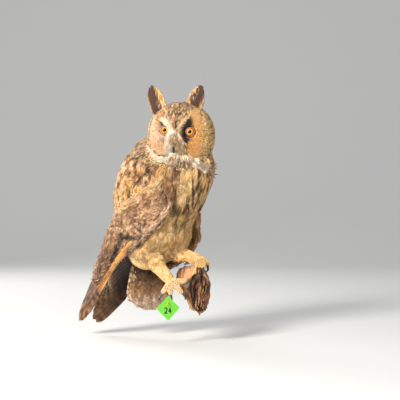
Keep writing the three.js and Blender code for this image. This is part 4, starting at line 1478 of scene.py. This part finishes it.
# The card keeps its own mesh, and a hand-written number stands on it. Strokes are in units of a figure's
# width and height, from the foot of the first figure.
card = {"middle": (-46.6, -156.0, -158.5), "right": (0.9272, 0.3746, 0.0), "front": (0.3746, -0.9272, 0.0),
        "lift": 0.5, "stroke": 0.85, "size": (4.8, 7.8), "centre": (1.13, 0.5), "drop": (-0.6, -3.4)}
strokes = {
    "two": [(0.05, 0.78), (0.25, 0.98), (0.6, 1.0), (0.85, 0.8), (0.75, 0.5), (0.35, 0.2), (0.02, 0.02)],
    "foot": [(0.0, 0.02), (0.4, 0.03), (0.95, 0.06)],
    "slope": [(1.95, 1.0), (1.6, 0.65), (1.35, 0.32)],
    "bar": [(1.33, 0.32), (1.8, 0.33), (2.3, 0.36)],
    "stem": [(2.0, 0.75), (1.98, 0.4), (1.95, 0.0)],
}
cardMiddle, cardRight, cardFront = (np.array(card[key], float) for key in ("middle", "right", "front"))
inks = []
for line in strokes.values():
    flat = (np.array(line) - np.array(card["centre"])) * np.array(card["size"]) + np.array(card["drop"])
    path = cardMiddle + cardRight * flat[:, :1] + np.array([0, 0, 1.0]) * flat[:, 1:]
    path = path + cardFront * card["lift"]
    inks.append(sweep(path, (0.6, card["stroke"], card["stroke"], 0.6), (0.16, 0.16),
                      np.cross(path[-1] - path[0], cardFront), 8, 22))


def inkPaint(points, t, number):
    return np.tile(shade(18, 16, 18), (len(points), 1))


swept("labelNumber", inks, inkPaint, markedMaterial("ink", 0.5), "card")
nodes["tag"].data.materials.clear()
nodes["tag"].data.materials.append(newMaterial("greenCard", 0.55, Base_Color=(*shade(104, 198, 52), 1))[0])

# Two strands twist round each other from the card to the toe, and leave two loose ends.
thread = {"path": [(-47.5, -160.7, -152.2), (-47.1, -159.4, -150.4), (-46.6, -157, -149),
                   (-46.4, -153.5, -146.5)],
          "turns": 2, "strand": 0.45, "thick": (0.3, 0.42, 0.42, 0.3), "endThick": (0.4, 0.38, 0.2),
          "ends": ((-50.8, -158.4, -154.2), (-44.6, -161.4, -154.6))}
threadPath = np.array(thread["path"])
strands = []
for turnStart in (0.0, math.pi):
    t = np.linspace(0, 1, 15)
    cell = np.minimum((t * 3).astype(int), 2)
    f = (t * 3 - cell)[:, None]
    centre = threadPath[cell] * (1 - f) + threadPath[cell + 1] * f
    turn = turnStart + t * thread["turns"] * 2 * math.pi
    around = np.stack([np.cos(turn), 0.3 * np.sin(turn), np.sin(turn) * 0.6], 1)
    strand = centre + around * thread["strand"]
    strands.append(sweep(strand, thread["thick"], thread["thick"], (1, 0, 0), 8, 44))
for end in thread["ends"]:
    path = [threadPath[0], (threadPath[0] + np.array(end)) / 2 + np.array([0.3, -0.5, 0.4]), end]
    strands.append(sweep(path, thread["endThick"], thread["endThick"], (0, 0, 1), 8, 16))


def threadPaint(points, t, number):
    return np.where((number % 2 == 0)[:, None], shade(236, 200, 60), shade(206, 70, 40))


swept("twistedThread", strands, threadPaint, markedMaterial("cotton", 0.8), "thread", "tag_thread")
print("stub, label and thread: done")

floor = {"level": -0.085, "bend": 1.6, "radius": 2.0, "top": 6.0, "steps": 24, "half": 9, "front": -7,
         "colour": (0.72, 0.72, 0.71, 1)}  # curves up far behind, in metres
sheet = bmesh.new()
profile = [(floor["front"], floor["level"])]
for step in range(floor["steps"] + 1):
    angle = math.pi / 2 * step / floor["steps"]
    profile.append((floor["bend"] + floor["radius"] * math.sin(angle),
                    floor["level"] + floor["radius"] * (1 - math.cos(angle))))
profile.append((floor["bend"] + floor["radius"], floor["top"]))
line = [sheet.verts.new((-floor["half"], *place)) for place in profile]
rail = [sheet.edges.new(pair) for pair in zip(line, line[1:])]
drawn = bmesh.ops.extrude_edge_only(sheet, edges=rail)["geom"]
moved = [vertex for vertex in drawn if isinstance(vertex, bmesh.types.BMVert)]
bmesh.ops.translate(sheet, vec=(2 * floor["half"], 0, 0), verts=moved)
bmesh.ops.recalc_face_normals(sheet, faces=sheet.faces)
for face in sheet.faces:
    face.smooth = True
floorMesh = bpy.data.meshes.new("floor")
sheet.to_mesh(floorMesh)
sheet.free()
floorPiece = bpy.data.objects.new("floor", floorMesh)
scene.collection.objects.link(floorPiece)
floorMesh.materials.append(newMaterial("paleFloor", 0.9, Base_Color=floor["colour"])[0])

world = bpy.data.worlds.new("studio")
world.use_nodes = True
world.node_tree.nodes["Background"].inputs["Color"].default_value = (0.86, 0.88, 0.9, 1)
world.node_tree.nodes["Background"].inputs["Strength"].default_value = 0.56
scene.world = world
scene.view_settings.view_transform = "Standard"
scene.view_settings.look = "None"

# Lamps and camera are placed in metres.
lamps = {
    "key": {"at": (-0.95, -1.45, 0.9), "size": 0.5, "watts": 54, "colour": (1.0, 0.97, 0.92)},
    "fill": {"at": (1.2, -1.5, 0.3), "size": 1.2, "watts": 4, "colour": (0.95, 0.97, 1.0)},
    "rim": {"at": (-0.8, 1.0, 0.9), "size": 0.8, "watts": 10, "colour": (1.0, 0.98, 0.95)},
}
aim = Vector((-0.03, -0.1, 0.11))
for name, lamp in lamps.items():
    light = bpy.data.lights.new(name, "AREA")
    light.size = lamp["size"]
    light.energy = lamp["watts"]
    light.color = lamp["colour"]
    lightObject = bpy.data.objects.new(name, light)
    lightObject.location = lamp["at"]
    lightObject.rotation_euler = (aim - Vector(lamp["at"])).to_track_quat("-Z", "Y").to_euler()
    scene.collection.objects.link(lightObject)

cameraData = bpy.data.cameras.new("camera")
cameraData.sensor_width = 36
cameraData.lens = 90
camera = bpy.data.objects.new("camera", cameraData)
camera.location = (0.019, -1.62, 0.129)
camera.rotation_euler = (math.radians(90), 0, 0)
scene.collection.objects.link(camera)
scene.camera = camera
